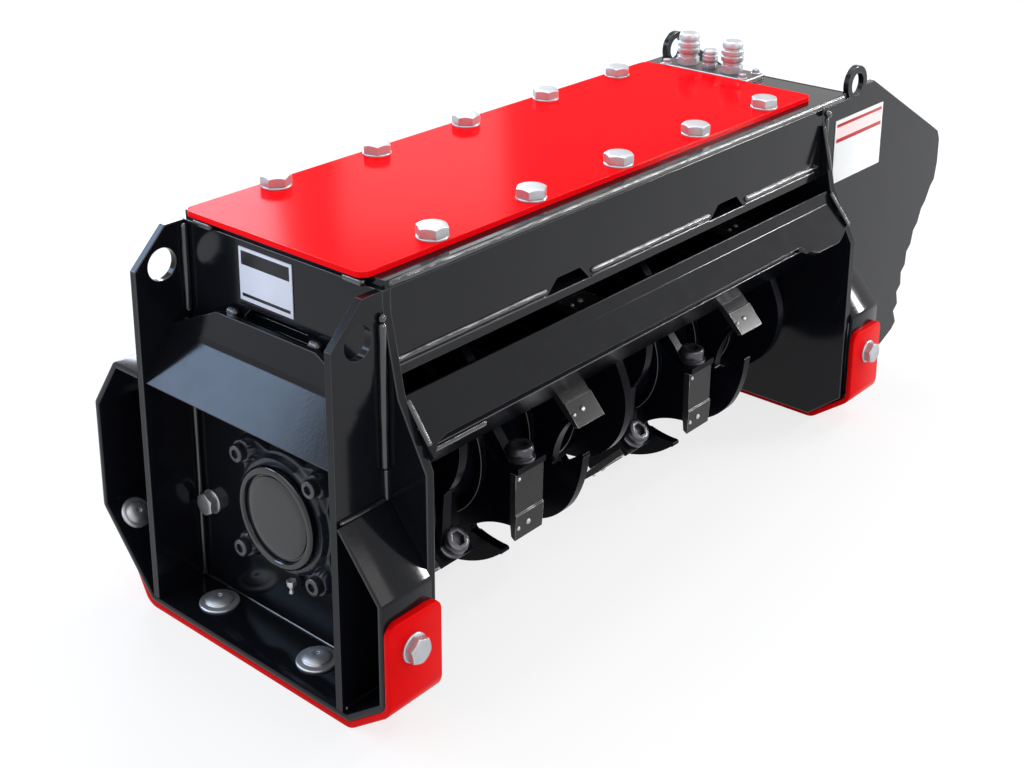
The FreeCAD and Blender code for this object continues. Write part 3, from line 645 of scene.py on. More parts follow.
def front_bar():
    """The folded bar: its section, with a small round at the fold, carried along X.

    The lower corners slide down the lower face by the share that BAR_EDGE gives at each place.
    """
    outer = folded_path(BAR_LINE, 4, 4)
    inner = folded_path(mitred(BAR_LINE, FOLDED), 6, 4)
    places, shares = np.array(BAR_EDGE).T
    along = np.union1d(places, np.linspace(0, places[-1], 90))
    slide = np.subtract(BAR_LINE[2], BAR_LINE[1]) * (np.interp(along, places, shares)[:, None] - 1)
    section = np.concatenate([outer, inner[::-1]])
    section = np.broadcast_to(section, (len(along), *section.shape)).copy()
    section[:, len(outer) - 1] += slide
    section[:, len(outer)] += slide
    x = np.broadcast_to((Box("front_bar").x0 + along * MM)[:, None], section.shape[:2])
    points = np.stack([x, section[..., 0] * MM + MIDDLE_Y, section[..., 1] * MM], -1)
    half = len(section[0]) // 2
    ends = [patch(np.stack([ring[:half], ring[:half - 1:-1]])) for ring in (points[0], points[-1])]
    shape = together([patch(points, wrap_columns=True)] + ends)
    item = piece("front_bar_folded", shape, CHARCOAL, "frame", 0.8 * MM, smooth=24)
    item.modifiers[-1].angle_limit = math.radians(50)
    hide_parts("front_bar")


front_bar()
folded_plate("back_hood", HOOD_LINE, 14)
finished_plate("motor_guard_top", CHARCOAL, CHARCOAL_EDGE_HIGHLIGHT, 1.3 * MM, fold=5 * MM)


# ---------------------------------------------------------------- fasteners

# Bolt sizes: across the flats, height of the head, radius and height of the washer.
COVER_BOLT = np.array([34, 12, 19, 3]) * MM
SHOE_BOLT = np.array([28, 10, 17.5, 3]) * MM
PLATE_BOLT = np.array([26, 11, 16, 3]) * MM
PORT_SCREW = np.array([11, 5, 7.5, 1.4]) * MM


def washer(centre, axis, radius, height):
    """A flat disc with rounded rims."""
    rim = min(height * 0.4, 1.0 * MM)
    profile = [(0, 0), (radius, 0), (radius, height - rim), (radius - rim, height), (0, height)]
    return lathe(profile, centre, axis, 40)


def hex_bolt(centre, axis, size, turn=0.0):
    """A hex head on its washer; the centre lies on the seat."""
    across_flats, head, washer_radius, washer_height = size
    axis = np.asarray(axis, float)
    seat = np.asarray(centre, float)
    ring = washer(seat, axis, washer_radius, washer_height)
    return together([ring, hex_head(across_flats, head, seat + axis * washer_height, axis, turn)])


def dome_nut(centre, axis, radius):
    """A flange nut with a domed crown on a wide flat washer."""
    axis = np.asarray(axis, float)
    seat = np.asarray(centre, float)
    skirt = [(0, 0), (radius, 0), (radius, 2.0 * MM), (radius - 1.2 * MM, 3.2 * MM),
             (radius * 0.80, 4.0 * MM), (radius * 0.72, 4.4 * MM), (radius * 0.66, 6.2 * MM), (0, 6.2 * MM)]
    crown = np.array([(0, 0), (0.70, 0), (0.68, 1.4), (0.56, 3.4), (0.38, 4.8), (0.17, 5.4), (0.13, 5.0),
                      (0.12, 2.0), (0, 2.0)]) * (radius, MM)
    return together([lathe(skirt, seat, axis, 48), lathe(crown, seat + axis * 5.2 * MM, axis, 36)])


def socket(centre, axis, radius, depth, turn):
    """The hex recess of a bolt head: a round lip, six flats going down, and a floor."""
    angle = full_turn(36)
    flats = np.minimum(radius * 0.86 / np.cos(from_flat(angle)), radius * 0.98)
    radii = np.stack([np.full(len(angle), radius), flats, flats * 0.97, flats * 0])
    heights = np.array([0, -0.3 * MM, -depth, -depth])
    ring = ring_about(axis, angle + turn, (1, 0, 0), (0, 0, 1))
    points = centre + heights[:, None, None] * axis + radii[..., None] * ring
    return patch(points, wrap_columns=True)


def cap_screw(centre, axis, radius, height, turn=0.0):
    """A round head with rounded rim and a hex recess over half its width."""
    axis = np.asarray(axis, float)
    centre = np.asarray(centre, float)
    rim = min(radius * 0.14, 2.4 * MM)
    head = [(0, 0), (radius, 0), (radius * 1.02, 0.5 * MM), (radius * 1.02, height - rim * 1.4),
            (radius - rim * 0.3, height - rim * 0.5), (radius - rim, height), (radius * 0.56, height)]
    recess = socket(centre + axis * height, axis, radius * 0.56, height * 0.5, turn)
    return together([lathe(head, centre, axis, 36), recess])


def cover_bolts():
    """Ten mounting bolts on washers, in two rows, standing on the cover plate."""
    turns = np.random.default_rng(4).uniform(0, math.pi / 3, (2, 5))
    bolts = []
    seat = Box("cover_plate").z1
    middle = MOUNTS["cover_bolts_middle"]
    pitch = MOUNTS["cover_bolts_inner"]["dims"]["spacing_x_mm"] / 2
    for line, side in enumerate((-1, 1)):
        y = middle["pos_m"][1] + side * middle["dims"]["spacing_y_mm"] / 2 * MM
        for row in range(5):
            x = middle["pos_m"][0] + (row - 2) * pitch * MM
            bolts.append(hex_bolt((x, y, seat), (0, 0, 1), COVER_BOLT, turns[line, row]))
    item = piece("cover_bolts", together(bolts), ZINC, "frame", 0.6 * MM)


cover_bolts()


def shoe_bolts():
    """The hex bolt on a washer in the front face of each wear shoe."""
    bolts = []
    for strip in (STRIP_NEAR, STRIP_FAR):
        x = (strip.x0 + strip.x1) / 2
        centre = (x, SHOE_BOLTS.y1, (SHOE_BOLTS.z0 + SHOE_BOLTS.z1) / 2)
        bolts.append(hex_bolt(centre, (0, -1, 0), SHOE_BOLT, 0.2))
    item = piece("shoe_bolt_heads", together(bolts), ZINC, "frame", 0.6 * MM)
    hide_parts("shoe_bolts")


shoe_bolts()


# Pairs (y, z) in mm: the nuts on a skid strip's foot, the one on its back slope, and the bolt in
# an end plate. Each nut stands in from the strip's edge by STRIP_INSET.
FOOT_NUTS = [(97, 16), (-79, 16)]
SLOPE_NUT = (243.3, 87)
PLATE_BOLT_PLACE = (138, 128)
STRIP_INSET = 30 * MM


def strip_bolts():
    """Nuts that hold the wear shoes, inside the skid strips, and the bolt in each end plate."""
    nuts = []
    slope = np.array([0, -100, 89]) / math.hypot(100, 89)
    for inner_x, outer_x in ((STRIP_NEAR.x1 - STRIP_INSET, STRIP_NEAR.x0 + STRIP_INSET),
                             (STRIP_FAR.x0 + STRIP_INSET, STRIP_FAR.x1 - STRIP_INSET)):
        nuts += [dome_nut(place, (0, 0, 1), 25 * MM) for place in across_x(FOOT_NUTS, inner_x)]
        seat = across_x([SLOPE_NUT], outer_x)[0] + slope * FOLDED * MM
        nuts.append(dome_nut(seat, slope, 20 * MM))
    for plate_x, out in ((NEAR_PLATE.x0, -1), (FAR_PLATE.x1, 1)):
        nuts.append(hex_bolt(across_x([PLATE_BOLT_PLACE], plate_x)[0], (out, 0, 0), PLATE_BOLT))
    item = piece("strip_and_plate_bolts", together(nuts), ZINC, "frame", 0.5 * MM)


strip_bolts()


# ---------------------------------------------------------------- bearings and motor

# The four bolts of a bearing flange, seen along X from the rotor's axis.
EARS = np.array([(1, 1), (-1, 1), (-1, -1), (1, -1)]) * 63 * MM


def flange_reach(angle):
    """Outline radius: the farthest a ray gets through a lobe, and at least 78 mm.

    A lobe is every circle between the body's (radius 62 at the axis) and the ear's (radius 17 at
    the bolt), so that its sides run straight from one to the other.
    """
    share = np.linspace(0, 1, 24)
    ray = np.stack([np.cos(angle), np.sin(angle)], -1)
    centres = EARS[:, None] * share[None, :, None]
    radii = (62 + (17 - 62) * share) * MM
    along = np.einsum("ac,esc->aes", ray, centres)
    gap = radii ** 2 - ((centres ** 2).sum(-1)[None] - along ** 2)
    reach = np.where(gap > 0, along + np.sqrt(np.clip(gap, 0, None)), 0)
    return np.maximum(reach.max((1, 2)), 78 * MM)


def smooth_step(value, low, high):
    """Nought below low and one above high, level at both ends."""
    share = np.clip((value - low) / (high - low), 0, 1)
    return share * share * (3 - 2 * share)


def bearing_flange(node, seat, out):
    """Cast flange: its height over the seat is a function of angle and share of the outline radius.

    The height is 16 mm in the round boss, dips to 8 mm in the pockets between the boss and the
    outline, and rises to 19 mm within 14 mm of a bolt. The two outermost rings fall off as a rim.
    """
    angle = full_turn(192)
    bore = 36 * MM
    share = np.concatenate([np.linspace(0, 0.62, 26), [0.64, 0.65]]) / 0.65
    rho = bore + (flange_reach(angle)[:, None] - bore) * share
    y = rho * np.cos(angle)[:, None]
    z = rho * np.sin(angle)[:, None]
    away = np.sqrt(((np.stack([y, z], -1)[:, :, None] - EARS) ** 2).sum(-1)).min(-1)
    boss = 1 - smooth_step(rho, 71 * MM, 75 * MM)
    ear = 1 - smooth_step(away, 14 * MM, 17.5 * MM)
    height = (8 + np.maximum(boss * 8, ear * 11)) * MM
    height[:, -2:] -= np.array([0.4, 1.6]) * MM
    surface = np.stack([seat + out * height, AXIS_Y + y, AXIS_Z + z], -1)
    hole, wall = surface[:, :1].copy(), surface[:, -1:].copy()
    hole[..., 0] = seat
    wall[..., 0] = seat
    shape = patch(np.concatenate([hole, surface, wall, hole], 1), wrap_rows=True)
    item = piece(node + "_cast", shape, CAST, "frame", smooth=50)
    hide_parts(node)
    bolts = []
    for number, (ear_y, ear_z) in enumerate(EARS):
        centre = np.array([seat + out * 19 * MM, AXIS_Y + ear_y, AXIS_Z + ear_z])
        bolts.append(cap_screw(centre, (out, 0, 0), 11 * MM, 10 * MM, 0.3 * number))
    item = piece(node + "_bolts", together(bolts), BOLT_BLACK, "frame", smooth=38)


bearing_flange("bearing_flange_near", FLANGE_NEAR.x1, -1)
bearing_flange("bearing_flange_far", FLANGE_FAR.x0, 1)


def bearing_cap():
    """Turned cap: a rounded rim, a groove, and a shallow dished disc in the middle."""
    profile = np.array([(0, 7.4), (40, 7.2), (50.4, 7.0), (51.4, 6.6), (52.0, 5.0), (53.6, 5.0), (54.2, 6.8),
                        (55.0, 8.8), (56.0, 9.8), (57.4, 10.0), (61.0, 10.0), (62.8, 9.4), (64.2, 7.8),
                        (65.0, 5.6), (65.0, 0.0), (0, 0)]) * MM
    seat = (Box("bearing_cap_near").x1, AXIS_Y, AXIS_Z)
    item = piece("bearing_cap_turned", lathe(profile, seat, (-1, 0, 0), 128), CAP_PAINT, "frame", smooth=35)
    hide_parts("bearing_cap_near")


bearing_cap()


def grease_nipple():
    """A small hex body with a cone and a ball, below each bearing."""
    shapes = []
    down = np.array([0, 0, -1.0])
    shape = np.array([(0, 0), (3.6, 0), (3.6, 4), (2.2, 5.5), (2.2, 8), (3.2, 9.6), (3.2, 11.4), (1.6, 13),
                      (0, 13)]) * MM
    for seat, out in ((FLANGE_NEAR.x0, -1), (FLANGE_FAR.x1, 1)):
        centre = np.array([seat - out * 6 * MM, AXIS_Y - 7 * MM, AXIS_Z - 86 * MM])
        shapes.append(hex_head(11 * MM, 6 * MM, centre, down))
        shapes.append(lathe(shape, centre + down * 5.5 * MM, down, 24))
    item = piece("grease_nipples", together(shapes), ZINC, "frame")


grease_nipple()


def drive_motor():
    """Motor case with nine ribs, and a bolted square head with two port bosses."""
    rings = [(0, 0), (72, 0), (72, 15), (70.5, 16.5), (62, 17.5), (60.5, 20)]
    for start in range(24, 129, 13):
        rings += [(60.5, start), (61.5, start + 1.5), (66, start + 2.5), (66, start + 6), (61.5, start + 7)]
    rings += [(60.5, 141), (70, 142.5), (71.5, 144), (71.5, 150), (0, 150)]
    case = lathe(np.array(rings) * MM, (MOTOR.x0, AXIS_Y, AXIS_Z), (1, 0, 0), 96)
    head_start = MOTOR.x0 + 150 * MM
    line = np.array([(head_start, AXIS_Y, AXIS_Z), (MOTOR.x1, AXIS_Y, AXIS_Z)])
    head = carried(line, rounded_rectangle(129 * MM, 129 * MM, 14 * MM, 6), (0, 1, 0))
    item = piece("drive_motor_case", together([case, head]), CAST, "frame", 1.5 * MM)
    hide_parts("drive_motor")
    bolts = []
    for y in (-46, 46):
        for z in (-46, 46):
            centre = (MOTOR.x1 - 9 * MM, AXIS_Y + y * MM, AXIS_Z + z * MM)
            bolts.append(hex_head(18 * MM, 9 * MM, centre, (1, 0, 0), 0.2))
    boss = np.array([(0, 0), (17, 0), (17, 9), (15.5, 11), (10, 11), (10, 8), (0, 8)]) * MM
    for y in (-28, 28):
        centre = ((head_start + MOTOR.x1) / 2, AXIS_Y + y * MM, AXIS_Z + 60 * MM)
        bolts.append(lathe(boss, centre, (0, 0, 1), 32))
    item = piece("motor_bolts_and_bosses", together(bolts), BOLT_BLACK, "frame", 0.4 * MM)


drive_motor()


# ---------------------------------------------------------------- ports and couplings

def coupling(centre, radius, height):
    """Hex base, turned body with two grooves, and a rounded dust cap."""
    up = (0, 0, 1)
    seat = np.array(centre)
    base = hex_head(radius * 1.72, height * 0.26, seat, up, 0.3)
    share = [(0, 0.24), (0.80, 0.24), (0.80, 0.34), (0.94, 0.37), (0.98, 0.41), (0.98, 0.52), (0.88, 0.54),
             (0.88, 0.57), (0.98, 0.59), (0.98, 0.70), (0.92, 0.73), (0.80, 0.74), (0.80, 0.78), (0.90, 0.80),
             (0.90, 0.90), (0.84, 0.96), (0.68, 1.0), (0, 1.0)]
    shape = np.array(share) * (radius, height)
    return together([base, lathe(shape, seat, up, 48)])


def couplings():
    """Two large couplings and a small one on the port plate, with the plate's own screws."""
    x = (PORTS.x0 + PORTS.x1) / 2
    top = PORTS.z1
    radius = (COUPLINGS.x1 - COUPLINGS.x0) / 2
    large = [coupling((x, MIDDLE_Y + y * MM, top), radius, COUPLINGS.z1 - top) for y in (8, 88)]
    item = piece("large_couplings", together(large), ZINC, "frame", 0.4 * MM)
    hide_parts("hydraulic_couplings")
    small = coupling((x, MIDDLE_Y + 48 * MM, top), radius * 0.7, Box("small_coupling").z1 - top)
    item = piece("small_coupling_turned", small, ZINC, "frame", 0.3 * MM)
    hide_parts("small_coupling")
    screws = []
    for y in (PORTS.y0 + 12 * MM, PORTS.y1 - 10 * MM):
        for side in (-19 * MM, 19 * MM):
            screws.append(hex_bolt((x + side, y, top), (0, 0, 1), PORT_SCREW, y * 20))
    item = piece("port_plate_screws", together(screws), ZINC, "frame", 0.3 * MM)


couplings()


# ---------------------------------------------------------------- blank plates

def banded(name, colour, second, cross, sides, bands):
    """Printed plate: a pale field with straight colour bands across it, and no lettering.

    Each band is (low, high, colour) up the plate, in metres, and all of them end at the two
    sides given along the cross axis.
    """
    material = finish(name, PAINT_FILM, {"Colour": colour, "Second colour": second, "Peel": 900.0,
                                         "Dust": 0.10, "Roughness": 0.32}, 0.03, 0.1 * MM,
                      {"Specular IOR Level": 0.3})
    tree = material.node_tree
    base = tree.nodes["Principled BSDF"].inputs["Base Color"]
    result = base.links[0].from_socket
    place = add(tree, "ShaderNodeSeparateXYZ", {0: own_place(tree)}).outputs

    def between(value, low, high):
        above = maths(tree, "GREATER_THAN", value, low)
        return maths(tree, "MULTIPLY", above, maths(tree, "LESS_THAN", value, high))

    within = between(place[cross], *sides)
    for low, high, band in bands:
        result = mixed(tree, maths(tree, "MULTIPLY", within, between(place["Z"], low, high)), result, band)
    tree.links.new(result, base)
    return material


def blank_plate(name, middle, height, section, face):
    """An upright plate: its section carried from its lower edge to its upper one."""
    line = np.array(middle) + np.array([[0, 0, -0.5], [0, 0, 0.5]]) * height
    piece(name, carried(line, section, (1, 0, 0)), face, "frame")


def signs():
    """The nameplate on the near end plate and the sign on the front guard side, both blank."""
    black = shade(28, 28, 32)
    low, high = 422 * MM, 487 * MM
    y = MIDDLE_Y + 16 * MM
    face = banded("nameplate_face", shade(214, 217, 228), shade(204, 207, 220), "Y",
                  (y - 41 * MM, y + 41 * MM),
                  [(high - 21 * MM, high - 4 * MM, black), (low + 5 * MM, low + 9 * MM, black)])
    blank_plate("nameplate", (NEAR_PLATE.x0 - 0.75 * MM, y, (low + high) / 2), high - low,
                rounded_rectangle(1.5 * MM, 90 * MM, 0.4 * MM, 2), face)
    red = shade(168, 8, 16)
    low, high = 369 * MM, 467 * MM
    x0 = FAR_PLATE.x1 + 27 * MM
    x1 = x0 + 144 * MM
    face = banded("guard_sign_face", shade(226, 226, 224), shade(212, 214, 214), "X",
                  (x0 + 4 * MM, x1 - 4 * MM),
                  [(high - 35 * MM, high - 6 * MM, shade(228, 200, 200)),
                   (high - 11 * MM, high - 6 * MM, red), (high - 35 * MM, high - 29 * MM, red)])
    front = Box("guard_side_front").y0
    blank_plate("guard_sign", ((x0 + x1) / 2, front - 0.6 * MM, (low + high) / 2), high - low,
                rounded_rectangle(x1 - x0, 1.2 * MM, 0.4 * MM, 2), face)


signs()


# ---------------------------------------------------------------- weld beads

# Place along X from which the beads are measured: 87 mm outside the box side's near end.
BEADS_X = float(SIDE_FRONT.x0) - 87 * MM

# Straight beads in mm, as first point, last point and radius: x from BEADS_X, y from the
# housing's middle, z from the ground. The first list lies in front and is repeated behind.
MIRRORED_BEADS = [
    # Along the foot of the box side, and the thin toe below each run.
    ((90, -169, 409), (347, -169, 409), 3.6),
    ((431, -169, 409), (691, -169, 409), 3.6),
    ((775, -169, 409), (975, -169, 409), 3.6),
    ((92, -169, 402), (345, -169, 402), 1.5),
    ((433, -169, 402), (689, -169, 402), 1.5),
    ((777, -169, 402), (973, -169, 402), 1.5),
    # Up the end plates, outside and then inside.
    ((74, -170, 60), (74, -170, 288), 3.4),
    ((71, -172, 288), (71, -172, 462), 5.0),
    ((989, -169, 60), (989, -169, 480), 3.6),
    ((71, -156, 20), (71, -156, 298), 3.4),
    ((71, -156, 380), (71, -156, 492), 4.6),
    ((990, -160, 44), (990, -160, 480), 3.6),
    # Guard plate, ends of the skid strips, and their feet.
    ((70, -159, 372), (66, -159, 300), 3.4),
    ((4, -170, 250), (71, -170, 250), 3.6),
    ((993, -170, 250), (1060, -170, 250), 3.6),
    ((4, -169, 18), (72, -169, 18), 3.4),
    ((993, -169, 18), (1058, -169, 18), 3.4),
]
SINGLE_BEADS = [
    # Ends of the front bar, and the wing above it.
    ((88, -190, 372), (88, -224, 328), 3.6),
    ((976, -190, 372), (976, -224, 328), 3.6),
    ((976, -172, 470), (976, -188, 405), 3.2),
    # Deck plate, front and back.
    ((84, -168, 500), (1036, -168, 500), 4.4),
    ((84, 166, 499), (1036, 166, 499), 4.0),
    # Inside the skid strips.
    ((76, -228, 60), (76, -228, 172), 3.0),
    ((76, -165, 15), (76, 165, 15), 3.0),
    ((76, 254, 114), (76, 254, 246), 3.0),
    ((988, -228, 60), (988, -228, 172), 3.0),
    ((988, -165, 15), (988, 165, 15), 3.0),
    # Back hood, and the counter knife's seam between them.
    ((88, 252, 160), (88, 252, 302), 3.0),
    ((104, -213, 314), (188, -213, 314), 3.6),
    ((976, 252, 160), (976, 252, 302), 3.0),
]
# Short thick beads along Y: place of the middle, half the length, and radius.
SHORT_BEADS = [(73, 121, 498, 17, 5.0), (73, -129, 498, 17, 5.0), (979, -176, 488, 6, 6.0),
               (68, 70, 404, 10, 6.0), (68, -70, 404, 10, 6.0), (70, -157, 366, 6, 6.0),
               (70, 157, 366, 6, 6.0), (72, -158, 20, 4, 4.5), (72, 158, 20, 4, 4.5),
               (72, -172, 466, 4, 6.0), (72, 172, 466, 4, 6.0)]


def straight(first, last):
    """A straight run between two points given in mm."""
    return np.array([first, last]) * MM + (BEADS_X, MIDDLE_Y, 0)


def behind(point):
    """The same point on the other long side."""
    return point[0], -point[1], point[2]


def housing_welds():
    """Beads along the seams of the housing, all in one piece."""
    mirrored = [(behind(a), behind(b), radius) for a, b, radius in MIRRORED_BEADS]
    seams = MIRRORED_BEADS + mirrored + SINGLE_BEADS
    beads = [weld(straight(a, b), radius * MM, number) for number, (a, b, radius) in enumerate(seams)]
    for number, (x, y, z, half, radius) in enumerate(SHORT_BEADS):
        beads.append(weld(straight((x, y - half, z), (x, y + half, z)), radius * MM, 90 + number))
    item = piece("housing_weld_beads", together(beads), WELD_PAINT, "frame", smooth=80)


housing_welds()


# ---------------------------------------------------------------- rotor

# Each limiter disc stands this far before the middle of its teeth.
DISC_OFFSET = 13 * MM


# Turn from one tooth station to the next, and the station whose teeth point straight ahead.
STATION_TURN = math.radians(45)
LEVEL_STATION = 3
# Seat of a tooth bolt's washer, out from the axis and up from it.
BOLT_SEAT = np.array([127, 8]) * MM


def station(number):
    """Middle of a tooth station along X, and its two outward and upward directions."""
    box = Box("rotor_teeth_%d" % number)
    turn = STATION_TURN * (number - LEVEL_STATION)
    arms = []
    for half in (turn, turn + math.pi):
        out = np.array([0, -math.cos(half), math.sin(half)])
        up = np.array([0, math.sin(half), math.cos(half)])
        arms.append((out, up))
    return box.middle[0], arms


def rotor_bolts():
    """Round-headed bolt with a hex socket and its clamp washer on the shelf over each tooth."""
    clamp = np.array([(0, 0), (20, 0), (20, 2.4), (19, 3.4), (17.4, 3.8), (17.4, 5.2), (16.4, 6.0),
                      (0, 6.0)]) * MM
    shapes = []
    for number in STATIONS:
        x, arms = station(number)
        for out, up in arms:
            seat = np.array([x, AXIS_Y, AXIS_Z]) + BOLT_SEAT[0] * out + BOLT_SEAT[1] * up
            shapes.append(lathe(clamp, seat, up, 36))
            shapes.append(cap_screw(seat + up * 5.8 * MM, up, 17 * MM, 13 * MM))
    item = piece("tooth_bolts", together(shapes), BOLT_BLACK, "rotor", smooth=38)


rotor_bolts()

# Side view of a tooth, out from the axis and up from it: a flat plate with a hardened insert
# that stands 2 mm proud over its lower third and ends in the slanted cutting edge.
TOOTH_OUTLINE = [(134.5, -0.5), (142.0, -0.5), (143.4, -2.0), (142.6, -57.0), (144.4, -58.4), (142.6, -87.0),
                 (142.0, -93.4), (136.0, -89.4), (134.5, -75.4)]


def tooth_plate(centre, out, up, half):
    """The outline drawn out along X over the tooth's width."""
    outline = np.array(TOOTH_OUTLINE) * MM
    flat = centre + outline[:, :1] * out + outline[:, 1:] * up
    ends = np.array([[-half, 0, 0], [half, 0, 0]])
    return capped(flat[None] + ends[:, None])


def tooth_studs(centre, out, up):
    """Domed studs: one in the insert's middle, one at its near side, and one by the top."""
    shapes = []
    for x, height, level, radius in ((-3, 143.2, -74, 3.8), (-22, 143.2, -76, 2.8), (-21, 143.0, -8, 2.8)):
        seat = centre + np.array([x * MM, 0, 0]) + out * height * MM + up * level * MM
        dome = np.array([(0, 0), (radius, 0), (radius, 1.2), (radius * 0.7, 2.3), (0, 2.7)]) * MM
        shapes.append(lathe(dome, seat, out, 16))
    return shapes


def teeth():
    """The pair of bolted teeth of every station, with their studs."""
    studs = []
    for number in STATIONS:
        box = Box("rotor_teeth_%d" % number)
        x, arms = station(number)
        centre = np.array([x, AXIS_Y, AXIS_Z])
        half = (box.x1 - box.x0) / 2
        plates = together([tooth_plate(centre, out, up, half) for out, up in arms])
        item = piece("rotor_teeth_%d_plates" % number, plates, TOOTH, "rotor", 0.9 * MM)
        item.data.materials.append(TOOTH_EDGE_WEAR_AND_HIGHLIGHT)
        # The tooth's rounds take the edge material, painted lighter as a highlight as well as worn.
        item.modifiers[-1].material = 1
        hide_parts("rotor_teeth_%d" % number)
        for out, up in arms:
            studs += tooth_studs(centre, out, up)
    item = piece("tooth_studs", together(studs), ZINC, "rotor", smooth=60)


teeth()


def rotor_welds():
    """Round beads where discs and end discs meet the drum.

    Each is a ring whose round section swells by 0.18 |sin(55 a)| + 0.10 sin(7 a) with the angle a.
    """
    bead = 3.0 * MM
    seams = []
    for number in STATIONS:
        disc = station(number)[0] - DISC_OFFSET
        seams += [disc - 8.5 * MM, disc + 8.5 * MM]
    seams += [DRUM.x0 + 1.5 * MM, DRUM.x1 - 1.5 * MM]
    angle = full_turn(160)
    tube = full_turn(7)
    shapes = []
    for number, x in enumerate(seams):
        size = bead * (1 + 0.18 * np.abs(np.sin(angle * 55)) + 0.10 * np.sin(angle * 7 + number))[:, None]
        rho = DRUM.y1 - AXIS_Y + 0.6 * MM + size * np.cos(tube)
        along = x + size * np.sin(tube)
        across = AXIS_Y + rho * np.cos(angle)[:, None]
        points = np.stack([along, across, AXIS_Z + rho * np.sin(angle)[:, None]], -1)
        shapes.append(patch(points, wrap_rows=True, wrap_columns=True))
    item = piece("rotor_weld_beads", together(shapes), WELD_PAINT, "rotor", smooth=80)


rotor_welds()

for number in STATIONS:
    finished_plate("rotor_disc_%d" % number, ROTOR, ROTOR_EDGE_HIGHLIGHT, 1.0 * MM, "rotor")
for drum_name in ("rotor_drum", "rotor_rings", "rotor_end_disc_near", "rotor_end_disc_far"):
    finished_plate(drum_name, ROTOR, ROTOR_EDGE_HIGHLIGHT, 1.0 * MM, "rotor")
finished_plate("rotor_shaft", TOOTH, TOOTH_EDGE_WEAR_AND_HIGHLIGHT, 1.0 * MM, "rotor")


# ---------------------------------------------------------------- floor, light, camera

def seen_or_mirrored(tree):
    """One for camera, glossy and transmission rays, which see the pale background, and else nought."""
    path = add(tree, "ShaderNodeLightPath")
    value = path.outputs["Is Camera Ray"]
    for kind in ("Is Glossy Ray", "Is Transmission Ray"):
        value = maths(tree, "MAXIMUM", value, path.outputs[kind])
    return value


# Share of the floor's own white where it is seen; the rest is lit, and keeps the machine's shadow.
FLOOR_WHITE = 0.76


def stage_material():
    """Pale floor: seen or mirrored it is white, with the object's soft shadow left in it."""
    material = bpy.data.materials.new("studio_floor")
    material.use_nodes = True
    tree = material.node_tree
    surface = tree.nodes["Principled BSDF"]
    surface.inputs["Base Color"].default_value = (0.86, 0.86, 0.87, 1)
    surface.inputs["Roughness"].default_value = 0.8
    surface.inputs["Specular IOR Level"].default_value = 0.1
    glow = add(tree, "ShaderNodeEmission", {"Color": (1, 1, 1, 1), "Strength": 1.0})
    share = maths(tree, "MULTIPLY", seen_or_mirrored(tree), FLOOR_WHITE)
    both = add(tree, "ShaderNodeMixShader", {0: share, 1: surface.outputs[0], 2: glow.outputs[0]})
    tree.links.new(both.outputs[0], tree.nodes["Material Output"].inputs["Surface"])
    return material


def stage():
    """A wide floor under the machine."""
    half = 12.0
    corners = [(-half, -half, 0), (half, -half, 0), (half, half, 0), (-half, half, 0)]
    mesh = bpy.data.meshes.new("studio_floor")
    mesh.from_pydata(corners, [], [(0, 1, 2, 3)])
    floor = placed("studio_floor", mesh)
    mesh.materials.append(stage_material())


stage()


def world():
    """Plain soft light from all round; white where the camera or a mirroring surface sees past."""
    sky = bpy.data.worlds.new("studio")
    bpy.context.scene.world = sky
    sky.use_nodes = True
    tree = sky.node_tree
    plain = tree.nodes["Background"]
    plain.inputs["Color"].default_value = (0.95, 0.97, 1.0, 1)
    plain.inputs["Strength"].default_value = 0.55
    white = add(tree, "ShaderNodeBackground", {"Color": (1, 1, 1, 1), "Strength": 1.0})
    seen = seen_or_mirrored(tree)
    both = add(tree, "ShaderNodeMixShader", {0: seen, 1: plain.outputs[0], 2: white.outputs[0]})
    tree.links.new(both.outputs[0], tree.nodes["World Output"].inputs["Surface"])


world()


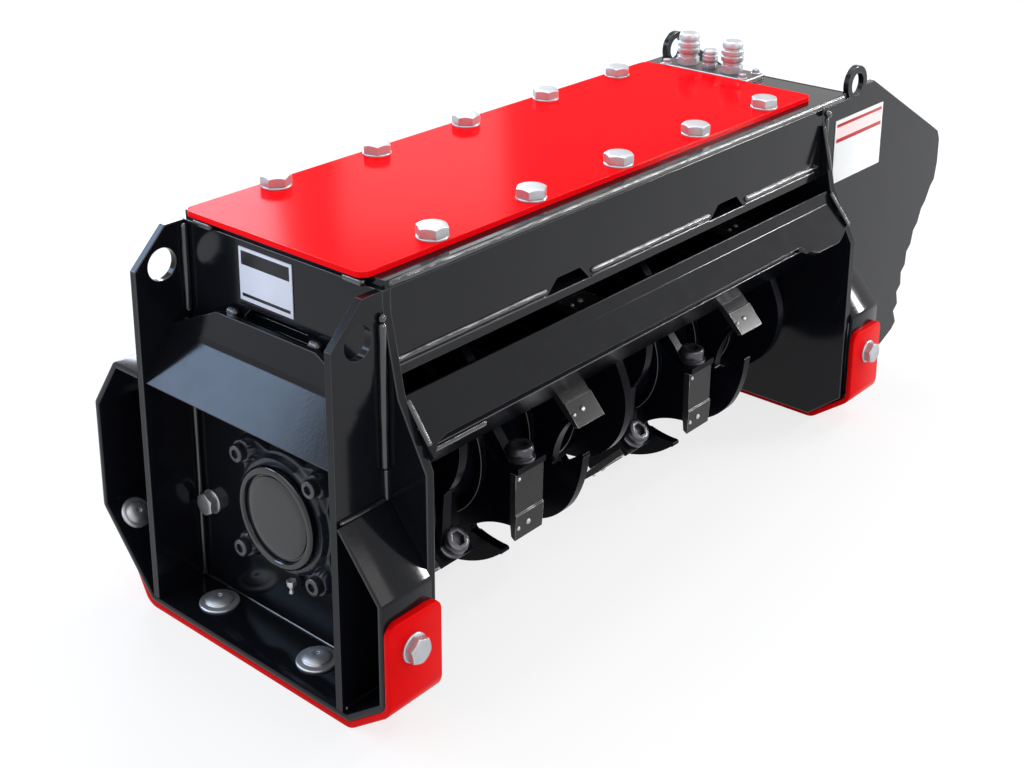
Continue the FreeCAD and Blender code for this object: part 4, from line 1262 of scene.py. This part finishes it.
def softbox(name, place, width, height, power, colour):
    """A rectangular lamp turned to the machine's middle."""
    lamp = bpy.data.lights.new(name, "AREA")
    lamp.shape = "RECTANGLE"
    lamp.size = width
    lamp.size_y = height
    lamp.energy = power
    lamp.color = colour
    item = placed(name, lamp)
    item.location = place
    item.rotation_euler = (Vector((0, 0, 0.25)) - Vector(place)).to_track_quat("-Z", "Y").to_euler()


def around(azimuth, elevation, distance, height=0.35):
    """A place seen from the machine at an azimuth from +X towards +Y and an elevation, in degrees."""
    a, e = math.radians(azimuth), math.radians(elevation)
    flat = distance * math.cos(e)
    return (flat * math.cos(a), flat * math.sin(a), height + distance * math.sin(e))


softbox("softbox_near", (-3.0, 0.6, 2.0), 2.2, 1.8, 20, (0.92, 0.96, 1.0))
softbox("softbox_front", (-0.4, -3.2, 1.9), 2.6, 1.4, 34, (1.0, 0.99, 0.97))
softbox("softbox_top", (0.4, 0.9, 3.2), 3.0, 2.2, 50, (0.98, 0.99, 1.0))
softbox("softbox_key", (2.35, -0.95, 2.3), 0.8, 0.5, 31, (1.0, 1.0, 1.0))
softbox("softbox_back_right", around(66, 19, 4.5, 0.5), 1.5, 1.2, 110, (0.80, 0.86, 1.0))
softbox("softbox_back", around(47.5, 19, 4.5, 0.5), 0.7, 0.7, 7, (0.95, 0.95, 1.0))
softbox("softbox_far_front", (2.63, -1.86, 1.30), 0.45, 0.3, 40, (1.0, 1.0, 1.0))
softbox("softbox_back_left", around(128, 28, 4.5), 1.6, 1.2, 62, (0.48, 0.68, 1.0))


def camera():
    """The viewing place: azimuth -48.52 and elevation 18 degrees, aimed past the machine's middle."""
    azimuth, elevation = math.radians(-48.52), math.radians(18.0)
    lens = bpy.data.cameras.new("camera")
    lens.sensor_width = 36
    lens.lens = 55.247
    lens.shift_x = 0.0232
    lens.shift_y = -0.2237
    lens.clip_start = 0.05
    back = Vector((math.sin(azimuth) * math.cos(elevation), -math.cos(azimuth) * math.cos(elevation),
                   math.sin(elevation)))
    item = placed("camera", lens)
    item.location = (-1.6721, -1.2578, 1.1365)
    item.rotation_euler = (-back).to_track_quat("-Z", "Y").to_euler()
    bpy.context.scene.camera = item


camera()
bpy.context.scene.view_settings.view_transform = "Standard"
